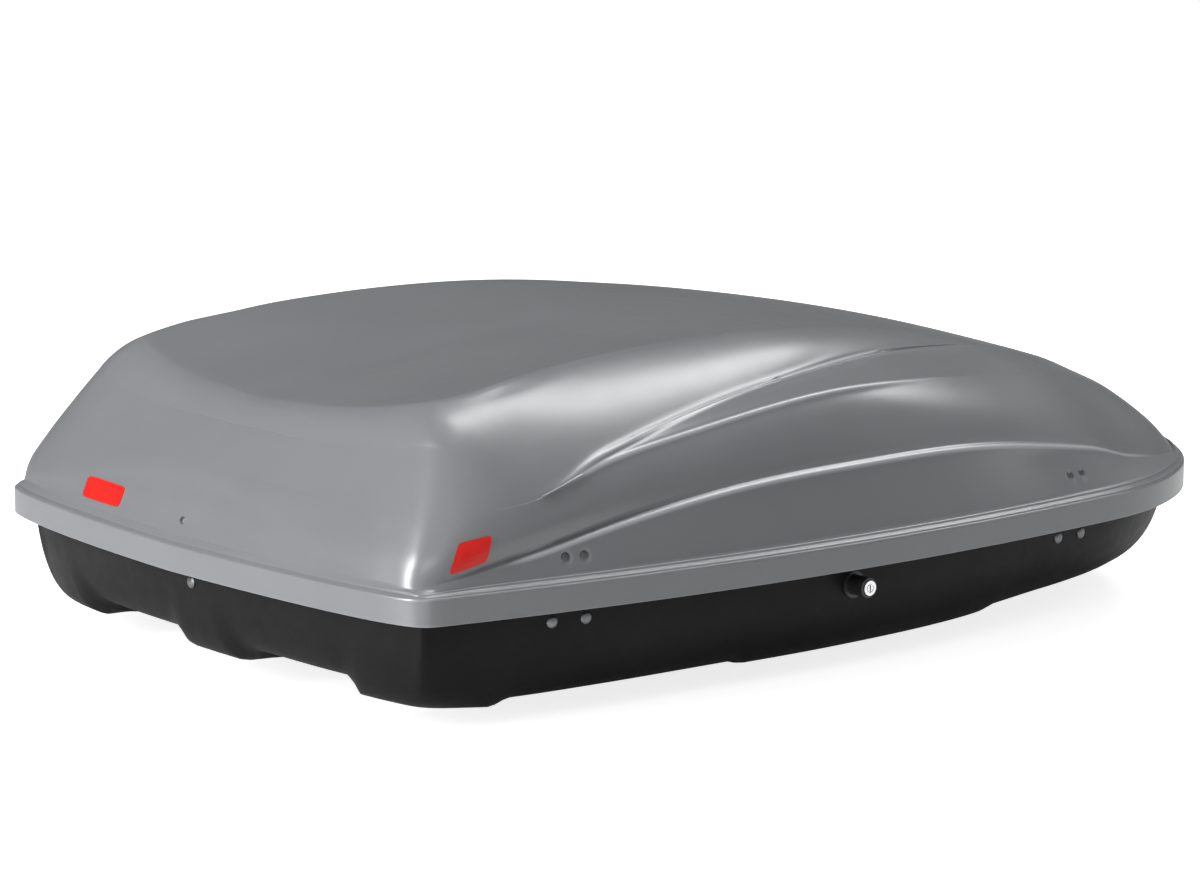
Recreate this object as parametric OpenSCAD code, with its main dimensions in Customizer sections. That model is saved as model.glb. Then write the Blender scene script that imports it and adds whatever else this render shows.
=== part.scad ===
// Roof cargo box: a hard lid on a tray, hinged along the +Y side and locked on the -Y side.
// +X is the nose, +Z is up. The origin is at mid length on the centre line, level with the
// lowest point of the roof bar clamps. The modules draw from the plane where the two bars
// touch the underside, and placed() lifts each part into the frame.

/* [Outline] */
// Length of the lid's rim
box_l = 1430; // [1420:1:1440]
// Half width of the rim near the rear corners
rear_half = 404; // [402:1:406]
// Half width of the rim at mid length
mid_half = 474.5; // [473:0.5:476]
// Half width of the rim where the nose starts to close
nose_half = 384.5; // [383:0.5:386]

/* [Heights] */
// Height of the rim's lower edge above the roof bars
rim_z = 106; // [104:1:108]
// Height of the skirt around the lid
skirt_h = 31; // [29:1:32]
// How far the tray's wall rises inside the skirt
wall_rise = 25; // [22:1:25]

/* [Shells] */
// Wall thickness of both shells
wall_t = 4; // [3.5:0.5:4]
// Depth of the step along the lower side panel
swage_step = 6; // [4:1:7]
// Number of sections along each side
side_n = 26; // [20:2:30]

/* [Lid hinge] */
// Half distance of the hinge line from the centre line
hinge_y = 431.3; // [431:0.1:431.5]
// Height of the hinge line above the rim's lower edge
hinge_rise = 8; // [7:0.5:9]
// Radius of the hinge knuckles
knuckle_r = 4.2; // [4:0.1:4.2]
// Radius of the hinge pins
hinge_pin_r = 2; // [1.5:0.5:2]

/* [Roof bars] */
// Place of the rear bar along the box
rear_bar_x = -360; // [-380:5:-340]
// Place of the front bar along the box
front_bar_x = 370; // [350:5:380]
// Half distance between the clamps on one bar
clamp_y = 230; // [220:5:235]
// Radius of the round bar that the clamps hold
bar_r = 15; // [14:0.5:15]

/* [Hidden] */
$fn = 48;
eps = 0.05;        // running clearance on a radius
gap = 0.3;         // gap round the sliding push bar
wall_rest = 2.7;   // from a flat bracket to the middle of the curved wall behind it
ground = 2 * bar_r + 3; // from the clamps' lowest point to the plane of the bars
end_n = 8;         // sections from the centre line to a corner, front and rear
half_n = 2 * end_n + side_n;
loop_n = 2 * half_n;
corner_v = 2.5;    // station of the nose corner
rear_turn = 0.043; // share of the length that the rear corner takes
nose_turn = 0.739; // share of the length where the nose starts

// ---- Curve helpers ----
function mix(a, b, t) = a + (b - a) * t;
function clamp01(t) = min(1, max(0, t));
function ramp(x, a, b) = let (t = clamp01((x - a) / (b - a))) t * t * (3 - 2 * t);
function unit(p) = p / norm(p);
function span(k, v, i = 0) = i >= len(k) - 2 || v < k[i + 1] ? i : span(k, v, i + 1);
function slope(k, c, i) = (c[i + 1] - c[i]) / (k[i + 1] - k[i]);
function tangent(k, c, i) =
    i == 0 ? slope(k, c, 0)
    : i == len(k) - 1 ? slope(k, c, i - 1)
    : let (a = k[i] - k[i - 1], b = k[i + 1] - k[i])
      (slope(k, c, i - 1) * b + slope(k, c, i) * a) / (a + b);
// Smooth curve through the points c at the knots k.
function curve(k, c, v) =
    let (i = span(k, v), h = k[i + 1] - k[i], t = (v - k[i]) / h, t2 = t * t, t3 = t2 * t)
    (2 * t3 - 3 * t2 + 1) * c[i] + (t3 - 2 * t2 + t) * h * tangent(k, c, i)
    + (3 * t2 - 2 * t3) * c[i + 1] + (t3 - t2) * h * tangent(k, c, i + 1);
function bezier(a, m, b, t) = (1 - t) * (1 - t) * a + 2 * t * (1 - t) * m + t * t * b;

// ---- Rim outline ----
// Station v runs from the rear centre (0) round the corner (1) and along the side (2) to the
// nose's tip (3), on the +Y half.
function side_half(u) = rear_half * (1 - u) * (1 - 2 * u) + 4 * mid_half * u * (1 - u)
    + nose_half * u * (2 * u - 1);
function rim_at(u, k) = [box_l * (u - 0.5), side_half(u) * k];
function rim(v) =
    v <= 1 ? rim_at(rear_turn * (1 - pow(cos(90 * v), 0.818)), pow(sin(90 * v), 1.433))
    : v <= 2 ? rim_at(mix(rear_turn, nose_turn, v - 1), 1)
    : rim_at(mix(nose_turn, 1, pow(sin(90 * (v - 2)), 0.898)), pow(max(0, cos(90 * (v - 2))), 0.764));
function inward(v) =
    v == 0 ? [1, 0] : v == 3 ? [-1, 0]
    : let (d = unit(rim(min(3, v + 0.01)) - rim(max(0, v - 0.01)))) [d.y, -d.x];
function inset(v, d, z) = let (p = rim(v) + d * inward(v)) [p.x, max(0, p.y), z];
function side_v(x) = 1 + (x / box_l + 0.5 - rear_turn) / (nose_turn - rear_turn);

// ---- Lid surface ----
// Guide curves of the lid at the knots, each point as x, half width and height over the rim.
knots = [0, 0.5, 0.8, 1, 1.13, 1.25, 1.4, 1.6, 1.8, 2, 2.25, 2.5, 2.75, 3];
swage = [[-704, 0, 42], [-690, 246, 42], [-667, 375, 42], [-645, 405, 41], [-520, 421, 62],
         [-402, 432, 85], [-255, 440, 105], [-57, 440, 113], [143, 429, 109], [338, 403, 83],
         [470, 363, 51], [600, 308, 36], [676, 183, 36], [702, 0, 37]];
shoulder = [[-668, 0, 115], [-655, 228, 112], [-636, 345, 112], [-608, 392, 112],
            [-521, 415, 124], [-415, 409, 151], [-255, 404, 175], [-65, 390, 192],
            [120, 358, 184], [320, 302, 164], [450, 256, 143], [555, 215, 116],
            [632, 125, 100], [655, 0, 100]];
tier_foot = [[-622, 0, 160], [-614, 205, 164], [-598, 305, 175], [-572, 355, 178],
             [-515, 414, 127], [-408, 403, 159], [-250, 372, 186], [-50, 321, 201],
             [125, 267, 201], [300, 230, 190], [425, 200, 160], [520, 160, 137],
             [590, 95, 122], [615, 0, 120]];
tier_edge = [[-594, 0, 188], [-585, 170, 199], [-571, 255, 213], [-556, 292, 220],
             [-500, 303, 228], [-400, 290, 240], [-255, 275, 249], [-65, 254, 248],
             [93, 220, 235], [260, 190, 207], [400, 165, 175], [500, 135, 150],
             [560, 80, 136], [590, 0, 130]];
// Height of the lid's centre line over the rim, from the rear crease to the nose.
spine_x = [-594, -500, -400, -300, -200, -100, 0, 100, 200, 300, 400, 500, 590];
spine_z = [188, 203, 215, 226, 234, 240, 243, 240, 228, 209, 185, 157, 130];
function guide(c, v) = let (p = curve(knots, c, v)) [p.x, max(0, p.y), p.z + rim_z];
// A bowed line between two guide points; the bow pushes its middle outwards and up.
function bowed(v, a, b, bow, t) =
    let (h = inward(v), d = unit(b - a), dh = d.x * h.x + d.y * h.y,
         n = [-h.x * d.z, -h.y * d.z, dh])
    bezier(a, (a + b) / 2 + bow * n, b, t);
function skirt_top(v) = inset(v, 0, rim_z + skirt_h - 1.5);
function ledge(v) = inset(v, mix(6, 11, ramp(v, 0.9, 1.1)), rim_z + mix(35, 38, ramp(v, 0.9, 1.1)));
function swage_depth(v) = swage_step * (ramp(v, 1.02, 1.13) - ramp(v, 2.2, 2.45));
function swage_top(v) =
    let (p = guide(swage, v), d = swage_depth(v), h = inward(v)) p + [h.x * d, h.y * d, 0.35 * d + 0.3];
function lid_outer(v) =
    let (l = guide(swage, v), s = swage_top(v), c = guide(shoulder, v), f = guide(tier_foot, v),
         e = guide(tier_edge, v))
    [inset(v, 0, rim_z), skirt_top(v), ledge(v), l, s, bowed(v, s, c, 14, 0.5), c,
     bowed(v, c, f, 2, 0.5), f, bowed(v, f, e, 14, 0.5), e];
// The inner surface runs one wall thickness inside the outer one.
function pulled_in(v, a, p, b, t) =
    let (h = inward(v), d = unit(b - a), dh = d.x * h.x + d.y * h.y,
         q = p + t * unit([h.x * d.z, h.y * d.z, -dh])) [q.x, max(0, q.y), q.z];
function lid_inner(v) =
    let (o = lid_outer(v), n = len(o))
    concat([inset(v, wall_t, rim_z), inset(v, wall_t, rim_z + skirt_h - 5),
            inset(v, mix(10, 14, ramp(v, 0.9, 1.1)), rim_z + 31)],
           [for (k = [4:n - 2]) pulled_in(v, o[k - 1], o[k], o[k + 1], wall_t)],
           [o[n - 1] - [0, 0, wall_t]]);

// ---- Tray surface ----
// Edge of the flat floor at the knots, as x and half width.
floor_edge = [[-640, 0], [-636, 215], [-622, 320], [-600, 350], [-505, 372], [-395, 380],
              [-250, 383], [-56, 385], [140, 365], [300, 310], [430, 270], [540, 225],
              [600, 130], [615, 0]];
wall_gap_rear = 28;  // from the rim to the tray's wall, along the rear and sides
wall_gap_nose = 18;  // the same at the nose
keel_x = -541;       // deepest place of the keels
keel_drop = 8;
channel_h = 18;      // height of the channels between the keels
belly_drop = 4.5;    // how far the middle of the floor hangs below the bar zones
function channel(y) = ramp(y, 50, 78) * (1 - ramp(y, 236, 255));
function floor_z(x, y) =
    let (keel = min(0, 0.08 * max(0, keel_x - x) - keel_drop) * (1 - ramp(x, keel_x, -515)),
         belly = -belly_drop * (ramp(x, -208, -198) - ramp(x, 185, 215)))
    mix(keel + belly, channel_h, channel(abs(y)) * (1 - ramp(x, -500, -440)));
function wall_gap(v) = mix(wall_gap_rear, wall_gap_nose, ramp(v, 2.2, 2.9));
function floor_point(v, t) =
    let (p = curve(knots, floor_edge, v) + t * inward(v), x = p.x, y = max(0, p.y))
    [x, y, floor_z(x, y) + t];
// Point on the tray's wall; t is the depth into the wall and k runs from the rim to the floor.
function tray_point(v, k, t) =
    let (a = inset(v, wall_gap(v) + t, rim_z), b = floor_point(v, t), m = mix(a, b, 0.17))
    bezier(a, [m.x, m.y, b.z], b, k);
function tray_side(v, t) =
    concat([inset(v, wall_gap(v) - 2 + t, rim_z + wall_rise), inset(v, wall_gap(v) - 2 + t, rim_z + 17)],
           [for (k = [0, 0.2, 0.4, 0.6, 0.8, 1]) tray_point(v, k, t)]);
function wall_k(z) = 1 - sqrt(1 - (rim_z - z) / rim_z);

// ---- Closed shells on a common grid ----
rear_v = [0, 0.105, 0.2, 0.375, 0.535, 0.61, 0.77, 0.88];
half_v = concat(rear_v, [for (i = [0:side_n]) mix(1, corner_v, i / side_n)],
                [for (i = [1:end_n]) mix(corner_v, 3, i / end_n)]);
function flip(p) = [p.x, -p.y, p.z];
// A whole ring from the points of the half stations: the -Y half first, then back on +Y.
function ring(h) = concat([for (p = h) flip(p)], [for (i = [half_n - 1:-1:1]) h[i]]);
function cap_xy(e, i, j) =
    let (a = i / side_n, r = e[abs(j)], f = e[half_n - abs(j)], rk = e[end_n],
         fk = e[half_n - end_n], s = e[end_n + i], b = mix(r.y / rk.y, f.y / fk.y, a))
    [mix(r.x, f.x, a) + s.x - mix(rk.x, fk.x, a),
     sign(j) * (mix(r.y, f.y, a) + b * (s.y - mix(rk.y, fk.y, a)))];
function lid_cap(e, i, j, drop) =
    let (a = i / side_n, p = cap_xy(e, i, j), c = cap_xy(e, i, 0), r = e[abs(j)],
         f = e[half_n - abs(j)], zc = rim_z + curve(spine_x, spine_z, c.x) - drop,
         b = mix((r.z - e[0].z) / (e[end_n].z - e[0].z),
                 (f.z - e[half_n].z) / (e[half_n - end_n].z - e[half_n].z), a))
    [p.x, p.y, mix(zc, e[end_n + i].z, b)];
function tray_cap(e, i, j, t) = let (p = cap_xy(e, i, j)) [p.x, p.y, floor_z(p.x, p.y) + t];
inner_row = 2 * end_n - 1;
function edge_index(h, far) = far && h > 0 && h < half_n ? loop_n - h : h;
function cap_index(i, j, ring0, cap0) =
    i == 0 ? ring0 + edge_index(abs(j), j > 0)
    : i == side_n ? ring0 + edge_index(half_n - abs(j), j > 0)
    : abs(j) == end_n ? ring0 + edge_index(end_n + i, j > 0)
    : cap0 + (i - 1) * inner_row + j + end_n - 1;
function cap_faces(ring0, cap0, up) =
    [for (i = [0:side_n - 1], j = [-end_n:end_n - 1])
        let (a = cap_index(i, j, ring0, cap0), b = cap_index(i, j + 1, ring0, cap0),
             c = cap_index(i + 1, j + 1, ring0, cap0), d = cap_index(i + 1, j, ring0, cap0))
        each up ? [[a, b, c], [a, c, d]] : [[a, c, b], [a, d, c]]];
function band_faces(n, closed) =
    [for (k = [0:n - 2 + (closed ? 1 : 0)], i = [0:loop_n - 1])
        let (i2 = (i + 1) % loop_n, k2 = (k + 1) % n, a = k * loop_n + i, b = k * loop_n + i2,
             c = k2 * loop_n + i2, d = k2 * loop_n + i)
        each [[a, d, c], [a, c, b]]];
// Rings from one surface over the edge to the other, closed at each end by a cap.
module bowl(sections, first_cap, last_cap) {
    n = len(sections[0]);
    rings = [for (k = [0:n - 1]) ring([for (s = sections) s[k]])];
    caps = len(first_cap);
    polyhedron(concat([for (r = rings) each r], first_cap, last_cap),
               concat(band_faces(n, false), cap_faces(0, n * loop_n, false),
                      cap_faces((n - 1) * loop_n, n * loop_n + caps, true)));
}
// A strip of constant section along the top of the tray's wall; x is the depth from its face.
module wall_strip(profile) {
    n = len(profile);
    polyhedron([for (p = profile)
                    each ring([for (v = half_v) inset(v, wall_gap(v) - 2 + p.x, rim_z + p.y)])],
               band_faces(n, true));
}
function reversed(a) = [for (i = [len(a) - 1:-1:0]) a[i]];
function cap_rows() = [for (i = [1:side_n - 1], j = [1 - end_n:end_n - 1]) [i, j]];

// ---- Placing small parts ----
// Puts children at p with their +Z pointing along n.
module aim(p, n) {
    d = unit(n);
    translate(p) rotate([0, acos(d.z), atan2(d.y, d.x)]) children();
}
function near(p) = [p.x, -p.y, p.z];
function outward(v) = -inward(v);
guide_x = [-471, 306]; // bar guides and strikers
hinge_x = [-471, 372];
rivet_pitch = 44;
module rivet(len_in, head_r = 7, shank_r = 2.4) {
    rotate_extrude() polygon([[0, -len_in], [shank_r, -len_in], [shank_r, 0], [head_r, 0],
                              [head_r, 0.6], [head_r * 0.72, 2.1], [head_r * 0.3, 2.8], [0, 2.9]]);
}

// ---- Shells ----
lock_x = -68;
lock_z = rim_z - 25;
lock_r = 14;
slot_x = 3.6;      // floor slot for a strap leg, along X
slot_y = 20.8;     // and along Y
strap_t = 3;
strap_w = 20;
leg_x = bar_r + strap_t / 2;
clamp_at = [for (x = [front_bar_x, rear_bar_x], y = [-clamp_y, clamp_y]) [x, y]];
module at_clamps() for (p = clamp_at) translate([p.x, p.y, 0]) children();
module leg_slots(z, h) at_clamps() for (s = [-1, 1])
    translate([s * leg_x, 0, z]) cube([slot_x, slot_y, h], center = true);
module base_shell() color([0.06, 0.06, 0.065]) difference() {
    outer = [for (v = half_v) reversed(tray_side(v, 0))];
    inner = [for (v = half_v) tray_side(v, wall_t)];
    outer_edge = [for (s = outer) s[0]];
    inner_edge = [for (s = inner) s[len(s) - 1]];
    bowl([for (i = [0:half_n]) concat(outer[i], inner[i])],
         [for (c = cap_rows()) tray_cap(outer_edge, c[0], c[1], 0)],
         [for (c = cap_rows()) tray_cap(inner_edge, c[0], c[1], wall_t)]);
    leg_slots(0, 40);
    translate([lock_x, -mid_half, lock_z]) rotate([-90, 0, 0]) cylinder(h = 100, r = lock_r - 2);
}
module lid_shell() color([0.45, 0.46, 0.47]) {
    inner = [for (v = half_v) reversed(lid_inner(v))];
    outer = [for (v = half_v) lid_outer(v)];
    inner_edge = [for (s = inner) s[0]];
    outer_edge = [for (s = outer) s[len(s) - 1]];
    bowl([for (i = [0:half_n]) concat(inner[i], outer[i])],
         [for (c = cap_rows()) lid_cap(inner_edge, c[0], c[1], wall_t)],
         [for (c = cap_rows()) lid_cap(outer_edge, c[0], c[1], 0)]);
}
// Rubber channel pushed over the top of the tray's wall.
module edge_trim() color([0.03, 0.03, 0.03]) {
    lip = 0.1;
    leg = 1.5;
    top = wall_rise + lip;
    foot = wall_rise - 5;
    wall_strip([[-lip - leg, foot], [-lip, foot], [-lip, top], [wall_t + lip, top], [wall_t + lip, foot],
                [wall_t + lip + leg, foot], [wall_t + lip + leg, top + 3], [-lip - leg, top + 3]]);
}

// ---- Hinges on the +Y side ----
leaf_y = 424.6;    // inner face of the base leaf
leaf_t = 2.4;
hinge_w = 64;
knuckle_w = 18;
hinge_z = rim_z + hinge_rise;
leaf_top = 56;     // top of the lid leaf above the rim
leaf_bend = 44;    // where it turns up to stand beside the wall
leaf_rivet_z = 50;
// The lid's wall steps inwards just above the leaf, so the leaf is set by that height.
function lid_leaf_y(x) =
    min([for (e = [-14, 14]) lid_inside(side_v(x + e), leaf_top + 7).y]) - 4.8;
module at_hinges() for (x = hinge_x) translate([x, 0, 0]) children();
module along_x(w) rotate([90, 0, 90]) linear_extrude(w, center = true) children();
module knuckle(x, w, bore) translate([x, hinge_y, hinge_z]) rotate([0, 90, 0])
    difference() {
        cylinder(h = w, r = knuckle_r, center = true);
        cylinder(h = w + 1, r = bore, center = true);
    }
module hinge_base_leaves() color([0.55, 0.56, 0.58]) at_hinges() {
    translate([-hinge_w / 2, leaf_y, rim_z - 28]) cube([hinge_w, leaf_t, 34]);
    for (s = [-1, 1]) {
        x = s * (hinge_w - knuckle_w) / 2;
        difference() {
            translate([x - knuckle_w / 2, leaf_y, hinge_z - knuckle_r])
                cube([knuckle_w, hinge_y - leaf_y, 2.2]);
            translate([x, hinge_y, hinge_z]) rotate([0, 90, 0])
                cylinder(h = knuckle_w + 1, r = hinge_pin_r, center = true);
        }
        knuckle(x, knuckle_w, hinge_pin_r);
    }
}
module hinge_lid_leaves() color([0.5, 0.51, 0.53]) for (x = hinge_x) translate([x, 0, 0]) {
    w = hinge_w - 2 * knuckle_w - 1;
    y = lid_leaf_y(x);
    knuckle(0, w, hinge_pin_r + eps);
    along_x(w) difference() {
        polygon([[hinge_y + knuckle_r - 2, hinge_z], [hinge_y + knuckle_r, hinge_z],
                 [hinge_y + knuckle_r, rim_z + 22], [hinge_y - 3.8, rim_z + 29.2],
                 [y + 2, rim_z + leaf_bend], [y + 2, rim_z + leaf_top], [y, rim_z + leaf_top],
                 [y, rim_z + leaf_bend - 0.6],
                 [hinge_y - 5.6, rim_z + 29], [hinge_y + knuckle_r - 2, rim_z + 21.4]]);
        translate([hinge_y, hinge_z]) circle(r = hinge_pin_r + eps);
    }
}
module hinge_pins() color([0.75, 0.76, 0.78]) at_hinges() translate([0, hinge_y, hinge_z])
    rotate([0, 90, 0]) {
        cylinder(h = hinge_w, r = hinge_pin_r, center = true);
        for (s = [-1, 1]) translate([0, 0, s * (hinge_w / 2 + 0.75)])
            cylinder(h = 1.5, r = knuckle_r - 0.8, center = true);
    }
module hinge_base_rivets() color([0.6, 0.6, 0.62]) at_hinges() for (s = [-1, 1])
    translate([s * rivet_pitch / 2, leaf_y + leaf_t, rim_z - 17]) rotate([-90, 0, 0]) rivet(20);
module hinge_lid_rivets() color([0.42, 0.43, 0.44]) for (x = hinge_x)
    for (s = [-1, 1]) {
        rivet_x = x + s * 8;
        p = lid_panel_point(side_v(rivet_x), leaf_rivet_z);
        translate([rivet_x, p.y, p.z]) rotate([-90, 0, 0]) rivet(p.y - lid_leaf_y(x) + 1, 5);
    }
// Point on the lid's inner face behind that panel, z above the rim.
function lid_inside(v, z) =
    let (s = swage_top(v), c = bowed(v, s, guide(shoulder, v), 14, 0.5),
         a = inset(v, mix(10, 14, ramp(v, 0.9, 1.1)), rim_z + 31),
         b = pulled_in(v, guide(swage, v), s, c, wall_t))
    mix(a, b, (z + rim_z - a.z) / (b.z - a.z));
// Point on the lid's lower side panel, z above the rim.
function lid_panel_point(v, z) =
    let (a = ledge(v), b = guide(swage, v)) mix(a, b, (z + rim_z - a.z) / (b.z - a.z));

// ---- Lock and push bar on the -Y side ----
bar_y = -398;      // outer face of the push bar
bar_t = 3;
bar_w = 16;
bar_z = rim_z - 13;
crank_r = 14;      // from the lock's axis to the crank pin
crank_turn = 90;
bar_throw = 2 * crank_r * sin(crank_turn / 2);
lock_face_y = -(mid_half - 3);
lock_wall_y = -tray_point(side_v(lock_x), wall_k(lock_z), 0).y;
lock_back_y = bar_y - 12;
cylinder_r = 7.2;
// A drawing in the X-Z plane, extruded from y0 to y1.
module along_y(x, y0, y1, z) translate([x, y1, z]) rotate([90, 0, 0])
    linear_extrude(y1 - y0) children();
module lock_boss() color([0.05, 0.05, 0.055]) difference() {
    union() {
        along_y(lock_x, lock_face_y + 1, lock_back_y, lock_z) circle(r = lock_r - 2.2);
        along_y(lock_x, lock_wall_y - 2.6, lock_wall_y - 0.1, lock_z) circle(r = lock_r + 2);
        along_y(lock_x, lock_wall_y + wall_t + 1.2, lock_wall_y + wall_t + 7, lock_z)
            circle(r = lock_r + 3, $fn = 6);
    }
    along_y(lock_x, lock_face_y, lock_back_y + 1, lock_z) circle(r = cylinder_r + eps);
}
module lock_cylinder() color([0.8, 0.8, 0.82]) difference() {
    union() {
        along_y(lock_x, lock_face_y, lock_back_y + 2, lock_z) circle(r = cylinder_r);
        along_y(lock_x, lock_back_y + 2, lock_back_y + 5.4, lock_z) square(6, center = true);
        along_y(lock_x, lock_face_y - 1.4, lock_face_y + 0.8, lock_z) circle(r = cylinder_r + 1.6);
    }
    along_y(lock_x, lock_face_y - 2, lock_face_y + 12, lock_z) square([1.8, 7.4], center = true);
    along_y(lock_x, lock_face_y - 2, lock_face_y + 1, lock_z) difference() {
        circle(r = cylinder_r - 2);
        circle(r = cylinder_r - 3);
    }
}
// At rest the crank leans to the rear, and it swings over the top to lock.
module lock_cam() color([0.6, 0.6, 0.62]) translate([lock_x, 0, lock_z]) rotate([0, -crank_turn / 2, 0])
    difference() {
        union() {
            along_y(0, lock_back_y + 2.2, lock_back_y + 5.2, 0) union() {
                circle(r = 8);
                translate([-4.5, 0]) square([9, crank_r]);
                translate([0, crank_r]) circle(r = 4.5);
            }
            along_y(0, lock_back_y + 5, bar_y + bar_t + 1, 0) translate([0, crank_r]) circle(r = 3);
        }
        along_y(0, lock_back_y, lock_back_y + 7, 0) rotate(-crank_turn / 2) square(6.1, center = true);
    }
hook_w = 10;
hook_reach = 18.5; // from the finger to the beak's tip
striker_x = 16.5;  // from the guide's middle to the striker's pin
striker_z = rim_z + 12;
striker_r = 3;
block_w = 8;
// Flat bar with a finger and beak over each guide, and a slotted plate at the lock.
module push_bar() color([0.62, 0.63, 0.65]) along_y(0, bar_y, bar_y + bar_t, 0) difference() {
    union() {
        x0 = guide_x[0] - 40;
        translate([x0, bar_z - bar_w / 2]) square([guide_x[1] - guide_x[0] + 80, bar_w]);
        translate([lock_x - bar_throw / 2 - 16, bar_z - 13]) square([32, 26]);
        for (x = guide_x) translate([x - 17.5, bar_z]) {
            square([hook_w, striker_z + 10 - bar_z]);
            translate([0, striker_z + striker_r + 0.8 - bar_z]) square([hook_w + hook_reach, 6.2]);
        }
    }
    translate([lock_x - bar_throw / 2 - 3.6, bar_z - 6.5]) square([7.2, 13]);
}
function tray_wall_y(x, z, t) = tray_point(side_v(x), wall_k(z), t).y;
module bar_guides() color([0.07, 0.07, 0.075]) for (x = guide_x, s = [-1, 1]) {
    xb = x + s * rivet_pitch / 2;
    back = min([for (e = [-1, 1]) tray_wall_y(xb + e * block_w / 2, rim_z - 26, wall_t)]) - wall_rest;
    along_y(xb, -back, bar_y + bar_t + 3, rim_z) difference() {
        translate([-block_w / 2, -26]) square([block_w, 25]);
        translate([-block_w, bar_z - rim_z - bar_w / 2 - gap]) square([2 * block_w, bar_w + 2 * gap]);
    }
    along_y(xb, -back, bar_y - gap, rim_z) translate([-block_w / 2, -24]) square([block_w, 22]);
}
module guide_rivets() color([0.5, 0.5, 0.52]) for (x = guide_x, s = [-1, 1]) {
    v = side_v(x + s * rivet_pitch / 2);
    p = tray_point(v, wall_k(rim_z - 17), 0);
    aim(near(p), [outward(v).x, -outward(v).y, 0]) rivet(10);
}
plate_w = 44;
striker_t = 2.5;
striker_pitch = 24;
function striker_plate_y(x) =
    min([for (e = [-1, 1]) lid_inside(side_v(x + e * plate_w / 2), 70).y]) - 1.2;
module lid_strikers() color([0.6, 0.61, 0.63]) for (x = guide_x) {
    yp = -striker_plate_y(x);
    y1 = bar_y - 10.5;
    translate([x, 0, 0]) along_x(plate_w) translate([yp, rim_z + 46]) square([striker_t, 23]);
    translate([x + striker_x, 0, 0]) along_x(10) polygon([
        [yp, rim_z + 48], [yp, rim_z + 45], [y1 - striker_t, rim_z + 33], [y1 - striker_t, striker_z - 4.5],
        [y1, striker_z - 4.5], [y1, rim_z + 34], [yp + striker_t, rim_z + 46.5],
        [yp + striker_t, rim_z + 48]]);
    along_y(x + striker_x, y1 - 0.5, bar_y + bar_t + 3, striker_z) circle(r = striker_r);
}
striker_rivet_z = 57; // above the rim
module striker_rivets() color([0.42, 0.43, 0.44]) for (x = guide_x, s = [-1, 1]) {
    v = side_v(x + s * striker_pitch / 2);
    p = lid_panel_point(v, striker_rivet_z);
    translate(near(p)) rotate([90, 0, 0]) rivet(p.y - striker_plate_y(x) + 1, 5);
}

// ---- Centring catch at the rear ----
tongue_x = -674;
tongue_t = 2.5;
tongue_w = 24;
socket_w = 40;
module rear_tongue() color([0.6, 0.61, 0.63]) rotate([90, 0, 0]) linear_extrude(tongue_w, center = true)
    polygon([[-686, rim_z + 64], [-686, rim_z + 47], [tongue_x, rim_z + 34], [tongue_x, rim_z + 2],
             [tongue_x + tongue_t, rim_z + 2], [tongue_x + tongue_t, rim_z + 35.5],
             [-686 + tongue_t, rim_z + 48.5], [-686 + tongue_t, rim_z + 64]]);
module rear_socket() color([0.07, 0.07, 0.075]) difference() {
    translate([-679, -socket_w / 2, rim_z - 24]) cube([12.5, socket_w, 30]);
    translate([tongue_x - 1, -tongue_w / 2 - 2.5, rim_z - 12])
        cube([tongue_t + 2, tongue_w + 5, 30]);
}
module rear_tongue_rivet() color([0.42, 0.43, 0.44]) {
    p = bowed(0, swage_top(0), guide(shoulder, 0), 14, 0.17);
    translate(p) rotate([0, -90, 0]) rivet(p.x * -1 - 686 + 3, 5);
}
module rear_socket_rivet() color([0.5, 0.5, 0.52])
    translate(tray_point(0, wall_k(rim_z - 17), 0)) rotate([0, -90, 0]) rivet(11);

// ---- Lid stays ----
stay_x = [-590, 340];
stay_foot = [364.8, rim_z - 33];  // pivot on the tray, in the Y-Z plane
stay_head = [298, rim_z + 120];   // pivot on the lid
stay_line = stay_head - stay_foot;
stay_len = norm(stay_line);
stay_a = atan2(stay_line.y, stay_line.x);
stud_r = 3;
head_slack = 5.6;  // free play at the head, because the stay's motion is simplified
tube_r = 9;
rod_r = 4;
// Children are drawn along +Z from the foot pivot.
module at_stays() for (x = stay_x) translate([x, stay_foot.x, stay_foot.y])
    rotate([stay_a - 90, 0, 0]) children();
module across(z, h, r) translate([0, 0, z]) rotate([0, 90, 0]) cylinder(h = h, r = r, center = true);
module stay_tubes() color([0.05, 0.05, 0.055]) at_stays() difference() {
    union() {
        across(0, 6, 8);
        translate([0, 0, 4]) cylinder(h = 8, r = 3);
        translate([0, 0, 11]) cylinder(h = 105, r = tube_r);
    }
    across(0, 7, stud_r + eps);
    translate([0, 0, 14]) cylinder(h = 110, r = rod_r + eps);
}
module stay_rods() color([0.8, 0.8, 0.82]) at_stays() difference() {
    union() {
        translate([0, 0, 78]) cylinder(h = stay_len - 78 - 10, r = rod_r);
        across(stay_len, 6, stud_r + head_slack + 4);
    }
    across(stay_len, 7, stud_r + head_slack);
}
module stay_base_brackets() color([0.07, 0.07, 0.075]) for (x = stay_x) {
    back = min([for (e = [-14, -5]) tray_wall_y(x + e, stay_foot.y - 10, wall_t)]) - 1.5 * wall_rest;
    translate([x - 14, stay_foot.x - 6, stay_foot.y - 8]) cube([9, back - stay_foot.x + 6, 16]);
    translate([x - 1, stay_foot.x, stay_foot.y]) across(0, 9, stud_r);
}
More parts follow.
